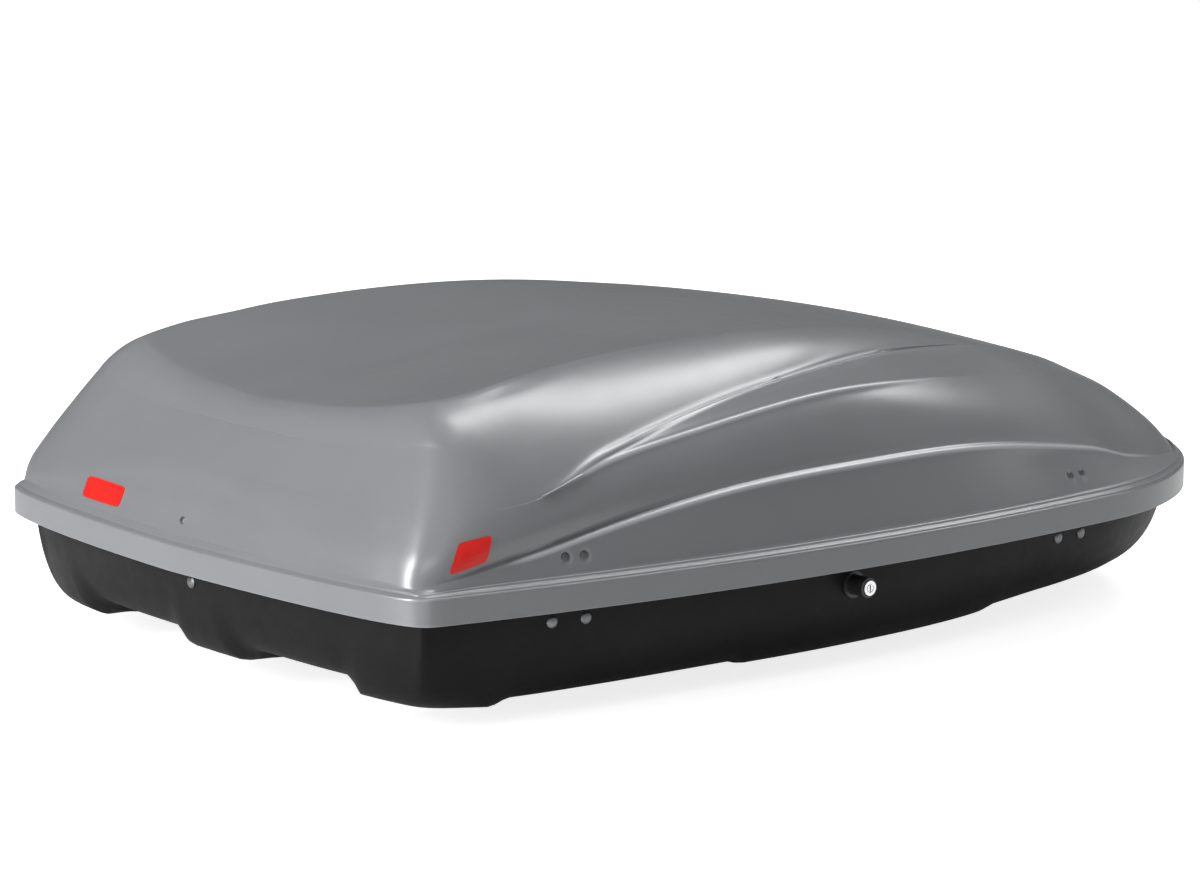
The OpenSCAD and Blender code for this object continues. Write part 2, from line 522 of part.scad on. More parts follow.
// Each bracket hangs from a post that is bonded into the lid's wall.
stay_roof = [rim_z + 169.2, rim_z + 158.8];
module stay_lid_brackets() color([0.07, 0.07, 0.075]) for (i = [0, 1]) {
    x = stay_x[i];
    translate([x - 14, stay_head.x - 7, stay_head.y - 7]) cube([9, 14, 15]);
    translate([x - 9.5, stay_head.x, stay_head.y]) cylinder(h = stay_roof[i] - stay_head.y, r = 4);
    translate([x - 1, stay_head.x, stay_head.y]) across(0, 9, stud_r);
}

// ---- Roof bar clamps ----
floor_in = wall_t + 0.2;
rail_w = 44;
rail_t = 2;
rail_x = [-400, 410];
plate_z = floor_in + rail_t + 0.1;
cover_t = 4;
screw_r = 4;
yoke_z = 22;
yoke_h = 10;
trunnion_r = 2.5;
leg_top = 34;
module floor_rails() color([0.58, 0.59, 0.6]) difference() {
    for (s = [-1, 1]) translate([rail_x[0], s * clamp_y - rail_w / 2, floor_in])
        cube([rail_x[1] - rail_x[0], rail_w, rail_t]);
    leg_slots(floor_in, 20);
}
module clamp_plates() color([0.06, 0.06, 0.065]) difference() {
    at_clamps() translate([-36, -20, plate_z]) cube([72, 40, cover_t]);
    leg_slots(plate_z, 20);
}
// Flat band bent round the bar, with both legs standing up through the floor.
module clamp_strap(p) color([0.66, 0.67, 0.69]) translate([p.x, p.y, 0]) difference() {
    rotate([90, 0, 0]) linear_extrude(strap_w, center = true) {
        difference() {
            translate([0, -bar_r]) circle(r = bar_r + strap_t);
            translate([0, -bar_r]) circle(r = bar_r);
            translate([-40, -bar_r]) square([80, 80]);
        }
        for (s = [-1, 1]) translate([s * leg_x - strap_t / 2, -bar_r]) square([strap_t, bar_r + leg_top]);
    }
    translate([0, 0, yoke_z + yoke_h / 2]) rotate([0, 90, 0])
        cylinder(h = 60, r = trunnion_r + eps, center = true);
}
module clamp_yoke(p) color([0.5, 0.51, 0.53]) translate([p.x, p.y, yoke_z]) difference() {
    union() {
        translate([-bar_r + 0.1, -9, 0]) cube([2 * bar_r - 0.2, 18, yoke_h]);
        translate([0, 0, yoke_h / 2]) rotate([0, 90, 0])
            cylinder(h = 2 * (bar_r + strap_t + 1.5), r = trunnion_r, center = true);
    }
    translate([0, 0, -1]) cylinder(h = yoke_h + 2, r = screw_r + eps);
}
module clamp_knob(p) color([0.05, 0.05, 0.055]) translate([p.x, p.y, 0]) {
    foot = plate_z + cover_t + 0.1;
    translate([0, 0, foot]) cylinder(h = 30, r = screw_r);
    translate([0, 0, leg_top + 2]) {
        cylinder(h = 14, r = 19);
        cylinder(h = 20, r = 11);
        for (a = [0:60:300]) rotate(a) translate([19, 0, 0]) cylinder(h = 14, r = 6);
    }
}

// ---- Luggage straps ----
strap_x = [-150, 110];
strap_half = 340;
web_w = 25;
web_t = 2;
web_z = plate_z + 0.3;
module lashing_straps() color([0.09, 0.09, 0.1]) for (x = strap_x)
    translate([x - web_w / 2, -strap_half, web_z]) cube([web_w, 2 * strap_half, web_t]);
module strap_buckles() color([0.04, 0.04, 0.045]) for (x = strap_x) translate([x, 70, web_z])
    difference() {
        translate([-19, -16, -1.2]) cube([38, 32, 9]);
        translate([-web_w / 2 - 0.5, -20, -0.2]) cube([web_w + 1, 40, web_t + 0.4]);
    }
module strap_anchors() color([0.06, 0.06, 0.065]) for (x = strap_x, s = [-1, 1])
    translate([x, s * (strap_half + 8), 0.2]) difference() {
        translate([-20, -7.5, 0]) cube([40, 15, 16]);
        translate([-14, -8, 4]) cube([28, 16, 7]);
    }

// ---- Stickers ----
sticker_lift = 0.35;
sticker_t = 0.5;
function sticker_point(v, t, lift) =
    let (s = swage_top(v), c = guide(shoulder, v), a = bowed(v, s, c, 14, t - 0.02),
         b = bowed(v, s, c, 14, t + 0.02), h = inward(v), d = unit(b - a),
         n = unit([-h.x * d.z, -h.y * d.z, d.x * h.x + d.y * h.y]))
    bowed(v, s, c, 14, t) + lift * n;
// A thin patch that follows the lid between two stations and two heights.
module sticker(v0, v1, t0, t1) {
    n = 6;
    m = 4;
    row = n + 1;
    sheet = row * (m + 1);
    function at(i, j, k) = k * sheet + j * row + i;
    rimmed = concat([for (i = [0:n - 1]) [[i, 0], [i + 1, 0]]], [for (j = [0:m - 1]) [[n, j], [n, j + 1]]],
                    [for (i = [n:-1:1]) [[i, m], [i - 1, m]]], [for (j = [m:-1:1]) [[0, j], [0, j - 1]]]);
    polyhedron([for (k = [0, 1], j = [0:m], i = [0:n])
                    sticker_point(mix(v0, v1, i / n), mix(t0, t1, j / m), sticker_lift + k * sticker_t)],
               concat([for (j = [0:m - 1], i = [0:n - 1])
                          each [[at(i, j, 0), at(i, j + 1, 0), at(i + 1, j + 1, 0)],
                                [at(i, j, 0), at(i + 1, j + 1, 0), at(i + 1, j, 0)],
                                [at(i, j, 1), at(i + 1, j + 1, 1), at(i, j + 1, 1)],
                                [at(i, j, 1), at(i + 1, j, 1), at(i + 1, j + 1, 1)]]],
                      [for (e = rimmed) let (a = e[0], b = e[1])
                          each [[at(a[0], a[1], 0), at(b[0], b[1], 0), at(b[0], b[1], 1)],
                                [at(a[0], a[1], 0), at(b[0], b[1], 1), at(a[0], a[1], 1)]]]));
}
module side_stickers() color([0.85, 0.1, 0.06]) {
    sticker(1.02, 1.072, 0.12, 0.6);
    mirror([0, 1, 0]) sticker(1.02, 1.072, 0.12, 0.6);
}
module rear_sticker() color([0.85, 0.1, 0.06]) sticker(0.27, 0.45, 0.1, 0.42);

module placed() translate([0, 0, ground]) children();

placed() base_shell();
placed() lid_shell();
placed() edge_trim();
placed() hinge_base_leaves();
placed() hinge_lid_leaves();
placed() hinge_pins();
placed() hinge_base_rivets();
placed() hinge_lid_rivets();
placed() lock_boss();
placed() lock_cylinder();
placed() lock_cam();
placed() push_bar();
placed() bar_guides();
placed() lid_strikers();
placed() guide_rivets();
placed() striker_rivets();
placed() rear_tongue();
placed() rear_socket();
placed() rear_tongue_rivet();
placed() rear_socket_rivet();
placed() stay_tubes();
placed() stay_rods();
placed() stay_base_brackets();
placed() stay_lid_brackets();
placed() floor_rails();
placed() clamp_plates();
placed() clamp_strap(clamp_at[0]);  // clamp_strap_front_right
placed() clamp_strap(clamp_at[1]);  // clamp_strap_front_left
placed() clamp_strap(clamp_at[2]);  // clamp_strap_rear_right
placed() clamp_strap(clamp_at[3]);  // clamp_strap_rear_left
placed() clamp_yoke(clamp_at[0]);  // clamp_yoke_front_right
placed() clamp_yoke(clamp_at[1]);  // clamp_yoke_front_left
placed() clamp_yoke(clamp_at[2]);  // clamp_yoke_rear_right
placed() clamp_yoke(clamp_at[3]);  // clamp_yoke_rear_left
placed() clamp_knob(clamp_at[0]);  // clamp_knob_front_right
placed() clamp_knob(clamp_at[1]);  // clamp_knob_front_left
placed() clamp_knob(clamp_at[2]);  // clamp_knob_rear_right
placed() clamp_knob(clamp_at[3]);  // clamp_knob_rear_left
placed() lashing_straps();
placed() strap_buckles();
placed() strap_anchors();
placed() side_stickers();
placed() rear_sticker();
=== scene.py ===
"""Looks of the roof cargo box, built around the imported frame. Shapes are worked out in
millimetres and made in metres."""
import math

import bmesh
import bpy
import numpy as np
from mathutils import Matrix, Vector
from mathutils.bvhtree import BVHTree


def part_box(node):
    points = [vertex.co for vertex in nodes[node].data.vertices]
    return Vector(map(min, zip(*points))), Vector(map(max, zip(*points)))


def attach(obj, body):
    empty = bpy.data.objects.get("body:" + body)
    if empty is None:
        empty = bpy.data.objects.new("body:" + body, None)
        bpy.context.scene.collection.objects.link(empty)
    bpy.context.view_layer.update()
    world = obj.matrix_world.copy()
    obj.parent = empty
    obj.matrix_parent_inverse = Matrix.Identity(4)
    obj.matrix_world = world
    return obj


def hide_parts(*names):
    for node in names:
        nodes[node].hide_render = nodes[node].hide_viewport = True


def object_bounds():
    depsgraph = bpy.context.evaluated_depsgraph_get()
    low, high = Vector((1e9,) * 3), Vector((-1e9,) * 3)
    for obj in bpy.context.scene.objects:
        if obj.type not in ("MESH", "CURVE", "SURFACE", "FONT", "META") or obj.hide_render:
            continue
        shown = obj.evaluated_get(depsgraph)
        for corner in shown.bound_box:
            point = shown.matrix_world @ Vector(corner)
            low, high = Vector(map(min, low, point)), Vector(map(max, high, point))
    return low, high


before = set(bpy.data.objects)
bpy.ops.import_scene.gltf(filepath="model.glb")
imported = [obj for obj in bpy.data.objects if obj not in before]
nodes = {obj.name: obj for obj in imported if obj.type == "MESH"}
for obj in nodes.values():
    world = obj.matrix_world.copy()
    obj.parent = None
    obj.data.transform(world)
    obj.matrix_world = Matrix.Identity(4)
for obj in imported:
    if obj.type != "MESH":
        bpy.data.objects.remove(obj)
cad_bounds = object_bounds()
MM = 0.001

# ---- Driving sizes, from the frame ----
lid_low, lid_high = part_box("lid_shell")
RIM_Z = lid_low.z / MM
BAR_Z = RIM_Z - 106.0  # plane where the roof bars touch the underside
BOX_L = (lid_high.x - lid_low.x) / MM
SKIRT_H = 31.0
WALL_T = 4.0
SWAGE_STEP = 6.0

# ---- The shells' outline and guide curves, in millimetres ----
# Station v runs from the rear centre (0) round the corner (1) and along the side (2) to the
# nose's tip (3). Each guide point is x, half width and height over the rim.
REAR_HALF, MID_HALF, NOSE_HALF = 404.0, 474.5, 384.5
REAR_TURN, NOSE_TURN, CORNER_V = 0.043, 0.739, 2.5
# How square the rim's turns are: powers along and across, at the rear and at the nose.
REAR_POWERS, NOSE_POWERS = (0.818, 1.433), (0.898, 0.764)
KNOTS = np.array([0, 0.5, 0.8, 1, 1.13, 1.25, 1.4, 1.6, 1.8, 2, 2.25, 2.5, 2.75, 3])
SWAGE = [(-704, 0, 42), (-690, 246, 42), (-667, 375, 42), (-645, 405, 41), (-520, 421, 62),
         (-402, 432, 85), (-255, 440, 105), (-57, 440, 113), (143, 429, 109), (338, 403, 83),
         (470, 363, 51), (600, 308, 36), (676, 183, 36), (702, 0, 37)]
SHOULDER = [(-668, 0, 115), (-655, 228, 112), (-636, 345, 112), (-608, 392, 112),
            (-521, 415, 124), (-415, 409, 151), (-255, 404, 175), (-65, 390, 192),
            (120, 358, 184), (320, 302, 164), (450, 256, 143), (555, 215, 116),
            (632, 125, 100), (655, 0, 100)]
TIER_FOOT = [(-622, 0, 160), (-614, 205, 164), (-598, 305, 175), (-572, 355, 178),
             (-515, 414, 127), (-408, 403, 159), (-250, 372, 186), (-50, 321, 201),
             (125, 267, 201), (300, 230, 190), (425, 200, 160), (520, 160, 137),
             (590, 95, 122), (615, 0, 120)]
TIER_EDGE = [(-594, 0, 188), (-585, 170, 199), (-571, 255, 213), (-556, 292, 220),
             (-500, 303, 228), (-400, 290, 240), (-255, 275, 249), (-65, 254, 248),
             (93, 220, 235), (260, 190, 207), (400, 165, 175), (500, 135, 150),
             (560, 80, 136), (590, 0, 130)]
SPINE_X = np.array([-594, -500, -400, -300, -200, -100, 0, 100, 200, 300, 400, 500, 590.0])
SPINE_Z = [188, 203, 215, 226, 234, 240, 243, 240, 228, 209, 185, 157, 130]
FLOOR_EDGE = [(-640, 0), (-636, 215), (-622, 320), (-600, 350), (-505, 372), (-395, 380),
              (-250, 383), (-56, 385), (140, 365), (300, 310), (430, 270), (540, 225),
              (600, 130), (615, 0)]


def mix(a, b, t):
    return a + (b - a) * t


def ramp(x, a, b):
    t = np.clip((x - a) / (b - a), 0, 1)
    return t * t * (3 - 2 * t)


def curve(knots, points, v):
    """Smooth curve through the points at the knots, the same rule as the CAD's."""
    p = np.asarray(points, float)
    p = p[:, None] if p.ndim == 1 else p
    h = np.diff(knots)[:, None]
    d = np.diff(p, axis=0) / h
    m = np.vstack([d[:1], (d[:-1] * h[1:] + d[1:] * h[:-1]) / (h[1:] + h[:-1]), d[-1:]])
    i = np.clip(np.searchsorted(knots, v, "right") - 1, 0, len(knots) - 2)
    t = ((v - knots[i]) / h[i, 0])[:, None]
    t2, t3 = t * t, t * t * t
    return ((2 * t3 - 3 * t2 + 1) * p[i] + (t3 - 2 * t2 + t) * h[i] * m[i]
            + (3 * t2 - 2 * t3) * p[i + 1] + (t3 - t2) * h[i] * m[i + 1])


def side_half(u):
    """Half width at the share u of the length, before the ends are rounded."""
    return REAR_HALF * (1 - u) * (1 - 2 * u) + 4 * MID_HALF * u * (1 - u) + NOSE_HALF * u * (2 * u - 1)


def rim(v):
    """Points of the rim's outline, as x and half width."""
    v = np.clip(np.asarray(v, float), 0, 3)
    rear, nose = np.radians(90 * np.clip(v, 0, 1)), np.radians(90 * np.clip(v - 2, 0, 1))
    u = np.where(v <= 1, REAR_TURN * (1 - np.abs(np.cos(rear)) ** REAR_POWERS[0]),
                 np.where(v <= 2, mix(REAR_TURN, NOSE_TURN, v - 1),
                          mix(NOSE_TURN, 1, np.abs(np.sin(nose)) ** NOSE_POWERS[0])))
    k = np.where(v <= 1, np.abs(np.sin(rear)) ** REAR_POWERS[1],
                 np.abs(np.cos(nose)) ** NOSE_POWERS[1])
    k = np.where(v > 2.9999, 0, k)  # the nose's tip lies exactly on the centre line
    return np.stack([BOX_L * (u - 0.5), side_half(u) * k], -1)


def inward(v):
    """Level unit vectors that point into the box from the rim."""
    d = rim(np.minimum(3, v + 0.01)) - rim(np.maximum(0, v - 0.01))
    n = np.stack([d[:, 1], -d[:, 0]], -1)
    n /= np.linalg.norm(n, axis=1)[:, None]
    n[v <= 0] = (1, 0)
    n[v >= 3] = (-1, 0)
    return n


def inset(v, d, z):
    """Points the distance d inside the rim, z above it."""
    d = np.broadcast_to(d, v.shape)[:, None]
    p = rim(v) + d * inward(v)
    return np.column_stack([p[:, 0], np.maximum(0, p[:, 1]), np.broadcast_to(z, v.shape) + RIM_Z])


# The CAD's own stations. Deep offsets are taken at these and joined by a smooth curve, because
# an offset wider than the corner's radius would cross itself at finer steps.
COARSE = np.concatenate([[0, 0.105, 0.2, 0.375, 0.535, 0.61, 0.77, 0.88],
                         mix(1, CORNER_V, np.arange(27) / 26), mix(CORNER_V, 3, np.arange(1, 9) / 8)])


def deep_inset(v, d_at, z):
    """Like inset for a wide offset; d_at gives the depth at a station."""
    p = curve(COARSE, inset(COARSE, d_at(COARSE), 0)[:, :2], v)
    return np.column_stack([p[:, 0], np.maximum(0, p[:, 1]), np.full(len(v), z + RIM_Z)])


def guide(points, v):
    """Points on one of the guide curves."""
    p = curve(KNOTS, points, v)
    return np.column_stack([p[:, 0], np.maximum(0, p[:, 1]), p[:, 2] + RIM_Z])


def side_v(x):
    """Station along the side at x."""
    return 1 + (x / BOX_L + 0.5 - REAR_TURN) / (NOSE_TURN - REAR_TURN)


def line(a, b, ts):
    return [mix(a, b, t) for t in ts]


def bowed(v, a, b, bow, ts):
    """Rows from a to b, pushed outwards and up in the middle."""
    h = inward(v)
    d = b - a
    d = d / np.maximum(1e-9, np.linalg.norm(d, axis=1))[:, None]
    dh = d[:, 0] * h[:, 0] + d[:, 1] * h[:, 1]
    n = np.column_stack([-h[:, 0] * d[:, 2], -h[:, 1] * d[:, 2], dh])
    m = (a + b) / 2 + bow * n
    return [(1 - t) ** 2 * a + 2 * t * (1 - t) * m + t * t * b for t in ts]


# ---- Grid bookkeeping: stations round the half rim, and a cap between them ----
END_N = 40


def spaced(n):
    """n even shares, from 1/n to 1."""
    return np.arange(1, n + 1) / n


def side_stations():
    """Even steps along the side, with fine steps around each lid rivet's dimple."""
    even = list(np.linspace(1, CORNER_V, 141))
    for x, _, _ in RIVETS:
        if abs(x) < BOX_L / 2 - 100:
            even += list(side_v(x + np.linspace(-10, 10, 13)))
    keep = [1.0]
    for v in np.unique(np.round(even, 6)):
        if v - keep[-1] > 0.0013:
            keep.append(v)
    keep[-1] = CORNER_V
    return np.array(keep)


def smooth_lines(lines, sigma):
    """Gaussian smoothing along each line of points; sigma is a width in mm at each point."""
    out = lines.copy()
    for k in range(len(lines)):
        p = lines[k]
        s = np.concatenate([[0], np.cumsum(np.linalg.norm(np.diff(p, axis=0), axis=1))])
        ds = np.gradient(s)
        sg = np.minimum(sigma[k], np.minimum(s, s[-1] - s) / 2.5) + 1e-3
        w = np.exp(-0.5 * ((s[:, None] - s[None, :]) / sg[:, None]) ** 2) * np.maximum(ds, 1e-6)
        out[k] = (w / w.sum(1)[:, None]) @ p
    return out


def round_corner(rows, width):
    """Rounds each row over the rear corner, and again a little over the nose's corner."""
    flip = np.array([1, -1, 1])
    lines = np.concatenate([(rows[:, :0:-1]) * flip, rows], 1)
    v = np.concatenate([HALF[:0:-1], HALF])
    near = ramp(v, 0.55, 0.86) * (1 - ramp(v, 1.015, 1.08))
    nose = 0.5 * ramp(v, 2.3, 2.45) * (1 - ramp(v, 2.55, 2.8))
    sigma = np.asarray(width)[:, None] * np.maximum(near, nose)[None]
    return smooth_lines(lines, sigma)[:, len(HALF) - 1:]


def rivet_places():
    """Rivets on the lid's side panels, read from the CAD nodes: x, side and height, in mm."""
    found = []
    for name in ("striker_rivets", "hinge_lid_rivets"):
        co = np.array([p.co for p in nodes[name].data.vertices]) / MM
        co = co[np.argsort(co[:, 0])]
        for part in np.split(co, np.flatnonzero(np.diff(co[:, 0]) > 3) + 1):
            low, high = part.min(0), part.max(0)
            found.append(((low[0] + high[0]) / 2, math.copysign(1, part[0, 1]), (low[2] + high[2]) / 2))
    return found


RIVETS = rivet_places()
SIDE = side_stations()
REAR = np.arange(END_N) / END_N
NOSE = mix(CORNER_V, 3, np.arange(1, END_N + 1) / END_N)
HALF = np.concatenate([REAR, SIDE, NOSE])
SIDE_N = len(SIDE) - 1


def both_sides(half_rows):
    """Rings over the whole rim from rows of the +Y half: the -Y half first, then back on +Y."""
    flipped = half_rows * np.array([1, -1, 1])
    return np.concatenate([flipped, half_rows[:, -2:0:-1]], axis=1)


def cap_xy(edge):
    """Points inside a closed edge, as (side station, across) with across from -END_N to END_N."""
    n = SIDE_N
    rear, side = edge[:END_N + 1], edge[END_N:END_N + n + 1]
    nose = edge[END_N + n:][::-1]
    a = np.linspace(0, 1, n + 1)[:, None]
    s_x = side[:, 0][:, None] - mix(rear[-1, 0], nose[-1, 0], a)
    s_y = side[:, 1][:, None] - mix(rear[-1, 1], nose[-1, 1], a)
    x = mix(rear[:, 0][None], nose[:, 0][None], a) + s_x
    b = mix((rear[:, 1] / rear[-1, 1])[None], (nose[:, 1] / nose[-1, 1])[None], a)
    y = mix(rear[:, 1][None], nose[:, 1][None], a) + b * s_y
    return x, y, a, rear, nose, side


def mesh_object(name, verts, faces, material):
    mesh = bpy.data.meshes.new(name)
    mesh.from_pydata([tuple(v) for v in verts], [], [tuple(f) for f in faces])
    mesh.validate()
    mesh.update()
    mesh.polygons.foreach_set("use_smooth", [True] * len(mesh.polygons))
    obj = bpy.data.objects.new(name, mesh)
    bpy.context.scene.collection.objects.link(obj)
    mesh.materials.append(material)
    return obj


def shell_mesh(rows, cap):
    """Vertices and faces of a bowl: wall rows (row, station, xyz) on the half rim and the cap
    (side station, across, xyz) on the half width. The last row is the cap's edge."""
    rings = both_sides(rows)
    n_rows, loop = rings.shape[:2]
    verts = rings.reshape(-1, 3)
    i = np.arange(loop)
    i2 = (i + 1) % loop
    faces = []
    for k in range(n_rows - 1):
        a, b = k * loop, (k + 1) * loop
        faces.append(np.stack([a + i, a + i2, b + i2, b + i], -1))
    grid = np.zeros((SIDE_N + 1, 2 * END_N + 1), int)
    last = (n_rows - 1) * loop
    half = len(HALF) - 1

    def edge_index(h, far):
        return last + (loop - h if far and 0 < h < half else h)

    inner = []
    for r in range(SIDE_N + 1):
        for j in range(-END_N, END_N + 1):
            far = j > 0
            if r == 0:
                grid[r, j + END_N] = edge_index(abs(j), far)
            elif r == SIDE_N:
                grid[r, j + END_N] = edge_index(half - abs(j), far)
            elif abs(j) == END_N:
                grid[r, j + END_N] = edge_index(END_N + r, far)
            else:
                grid[r, j + END_N] = len(verts) + len(inner)
                p = cap[r, abs(j)]
                inner.append((p[0], p[1] if far else -p[1], p[2]))
    quads = np.stack([grid[:-1, :-1], grid[1:, :-1], grid[1:, 1:], grid[:-1, 1:]], -1)
    faces.append(quads.reshape(-1, 4))
    return np.vstack([verts, np.array(inner)]), np.vstack(faces)


# ---- Lid ----
def lid_rows(v):
    """Rows of the lid's outside from the skirt's lower edge to the tier's edge, with a
    smoothing width for each."""
    side = ramp(v, 0.9, 1.1)
    z_in = mix(35, 38, side)
    rows, sigma = [], []

    def add(points, width):
        for p in points:
            rows.append(p)
            sigma.append(np.broadcast_to(width, v.shape))

    add([inset(v, 0, z) for z in (0, 0.6, 4, 12, 20, 26, 28)], 0.0)
    turn = inset(v, 1.8, SKIRT_H)
    foot = deep_inset(v, lambda c: mix(6, 11, ramp(c, 0.9, 1.1)), 0)
    foot[:, 2] += z_in
    add([inset(v, 0, SKIRT_H - 2.4), inset(v, 0.25, SKIRT_H - 1.1), inset(v, 0.8, SKIRT_H - 0.4),
         turn], 0.35)
    rib_n = 18
    for k in range(1, rib_n + 1):
        t = k / rib_n
        p = mix(turn, foot, t)
        rib = 0.95 * np.maximum(0, np.sin(math.pi * (3 * t))) ** 2 * side
        groove = 1.4 * (1 - side) * ramp(t, 0.45, 0.75)
        p = p + np.column_stack([np.zeros((len(v), 2)), rib - groove])
        add([p], 0.25)
    swage = guide(SWAGE, v)
    depth = SWAGE_STEP * (ramp(v, 1.0, 1.08) - ramp(v, 2.2, 2.45))
    h = inward(v)
    above = swage + np.column_stack([h * 0.9 * depth[:, None], 0.7 * depth + 0.3])
    add(line(foot, swage, spaced(16)), 1.0)
    swage_row = len(rows) - 1
    add(line(swage, above, spaced(6)), 1.0)
    shoulder, tier_foot, edge = (guide(g, v) for g in (SHOULDER, TIER_FOOT, TIER_EDGE))
    hood = ramp(shoulder[:, 0], -40, 380)
    high_hood = ramp(shoulder[:, 0], -150, 250)
    near_rear = 1 - ramp(v, 0.85, 1.10)
    start = 1 - ramp(v, 1.14, 1.30)  # the double crease fades in along the side
    crease = np.maximum(near_rear, start)
    ease = 1 - np.cos(math.pi / 2 * spaced(16))
    rise = 1 - ease[::-1] + ease[0]
    for t, p in zip(rise, bowed(v, above, shoulder, 14, rise)):
        add([p], mix(0.9, mix(mix(2.2, 28, crease), 18, hood), ramp(t, 0, 0.7)))
    band = 0.5 - 0.5 * np.cos(math.pi * spaced(14))
    add(bowed(v, shoulder, tier_foot, 2, band), mix(mix(1.6, 30, crease), 15, mix(hood, high_hood, 0.5)))
    tier = mix(mix(1.8, mix(30, 16, near_rear), crease), 32, high_hood)
    for t, p in zip(ease, bowed(v, tier_foot, edge, 14, ease)):
        add([p], mix(tier, mix(mix(mix(6, 20, start), 13, near_rear), 32, high_hood), ramp(t, 0.3, 0.9)))
    tier_row = len(rows) - len(ease) - 1
    return np.array(rows), np.array(sigma), swage_row, tier_row - len(band), tier_row


def lid_surface():
    rows, sigma, swage_row, shoulder_row, tier_row = lid_rows(HALF)
    above_ledge = ramp(rows[:, 0, 2] - RIM_Z, 30, 40)
    rows = round_corner(rows, mix(7, 20, above_ledge))
    edge = rows[-1]
    x, y, a, rear, nose, side = cap_xy(edge)
    zc = RIM_Z + curve(SPINE_X, SPINE_Z, x[:, 0]).ravel()[:, None]
    b = mix(((rear[:, 2] - rear[0, 2]) / (rear[-1, 2] - rear[0, 2]))[None],
            ((nose[:, 2] - nose[0, 2]) / (nose[-1, 2] - nose[0, 2]))[None], a)
    cap = np.stack([x, y, mix(zc, side[:, 2][:, None], b)], -1)
    cap_sigma = mix(9, 45, ramp(cap[:, :, 0], -200, 280))
    n_rows = len(rows)
    # Across the box: one side's wall, the cap and the other wall.
    wall = rows[:, END_N:END_N + SIDE_N + 1].transpose(1, 0, 2)
    wall_sigma = sigma[:, END_N:END_N + SIDE_N + 1].T
    flip = np.array([1, -1, 1])
    across = np.concatenate([wall * flip, (cap[:, -2:0:-1]) * flip, cap[:, :-1], wall[:, ::-1]], 1)
    across_sigma = np.concatenate([wall_sigma, cap_sigma[:, -2:0:-1], cap_sigma[:, :-1],
                                   wall_sigma[:, ::-1]], 1)
    done = smooth_lines(across, across_sigma)
    m = n_rows + END_N - 1
    rows[:, END_N:END_N + SIDE_N + 1] = (done[:, :n_rows] * flip).transpose(1, 0, 2)
    cap[:, :-1] = done[:, m:m + END_N]
    cap[:, -1] = rows[-1, END_N:END_N + SIDE_N + 1]
    # Along the box: rear wall, cap and nose.
    rear_wall = rows[:, :END_N + 1].transpose(1, 0, 2)
    nose_wall = rows[:, END_N + SIDE_N:].transpose(1, 0, 2)[::-1]
    rear_sigma, nose_sigma = sigma[:, :END_N + 1].T, sigma[:, END_N + SIDE_N:].T[::-1]
    along = np.concatenate([rear_wall[:, :-1], cap.transpose(1, 0, 2), nose_wall[:, -2::-1]], 1)
    along_sigma = np.concatenate([rear_sigma[:, :-1], cap_sigma.T, nose_sigma[:, -2::-1]], 1)
    # The corner stations were smoothed across already.
    along_sigma[-1] *= 0.2
    done = smooth_lines(along, along_sigma)
    rows[:-1, :END_N + 1] = done[:, :n_rows - 1].transpose(1, 0, 2)
    cap = done[:, n_rows - 1:n_rows + SIDE_N].transpose(1, 0, 2).copy()
    rows[:-1, END_N + SIDE_N:] = done[::-1, :n_rows + SIDE_N - 1:-1].transpose(1, 0, 2)
    rows[-1, :END_N + 1] = cap[0]
    rows[-1, END_N + SIDE_N:] = cap[-1, ::-1]
    rows[-1, END_N:END_N + SIDE_N + 1] = cap[:, -1]
    share = ramp(HALF, 1.10, 1.26) * (1 - ramp(rows[shoulder_row, :, 0], 20, 280))
    swage_share = ramp(HALF, 1.06, 1.14) * (1 - ramp(HALF, 2.2, 2.45))
    beads = [bead(rows, shoulder_row, share, 2.0, 3.4), bead(rows, tier_row, share, 2.2, 3.4),
             bead(rows, swage_row, swage_share, 1.4, 3.2)]
    rows[:-1] += sum(offset for offset, _ in beads)[:-1]
    return rows, cap, np.maximum.reduce([rise for _, rise in beads])


def bead(rows, k, share, height, width):
    """A fine ridge along row k of the wall, where share is above 0: the move of each point, and
    how near the ridge's top it is, from 0 to 1."""
    along = np.gradient(rows, axis=1)
    up = np.gradient(rows, axis=0)
    normal = np.cross(up, along)
    outwards = (normal[:, :, :2] * -inward(HALF)[None]).sum(2) + 0.6 * normal[:, :, 2]
    normal *= np.sign(outwards)[:, :, None]
    normal /= np.maximum(1e-9, np.linalg.norm(normal, axis=2))[:, :, None]
    s = np.concatenate([np.zeros((1, rows.shape[1])),
                        np.cumsum(np.linalg.norm(np.diff(rows, axis=0), axis=2), axis=0)])
    rise = share[None] * np.exp(-0.5 * ((s - s[k][None]) / width) ** 2)
    return height * rise[:, :, None] * normal, rise


def polish(verts, faces, weight, rounds):
    """Evens out the surface where weight is above 0, by averaging with the neighbours."""
    pairs = np.vstack([faces[:, [0, 1]], faces[:, [1, 2]], faces[:, [2, 3]], faces[:, [3, 0]]])
    n = len(verts)
    count = np.bincount(pairs.ravel(), minlength=n)[:, None]
    for _ in range(rounds):
        total = np.zeros_like(verts)
        for c in range(3):
            total[:, c] = (np.bincount(pairs[:, 0], verts[pairs[:, 1], c], n)
                           + np.bincount(pairs[:, 1], verts[pairs[:, 0], c], n))
        verts = verts + 0.5 * weight[:, None] * (total / count - verts)
    return verts


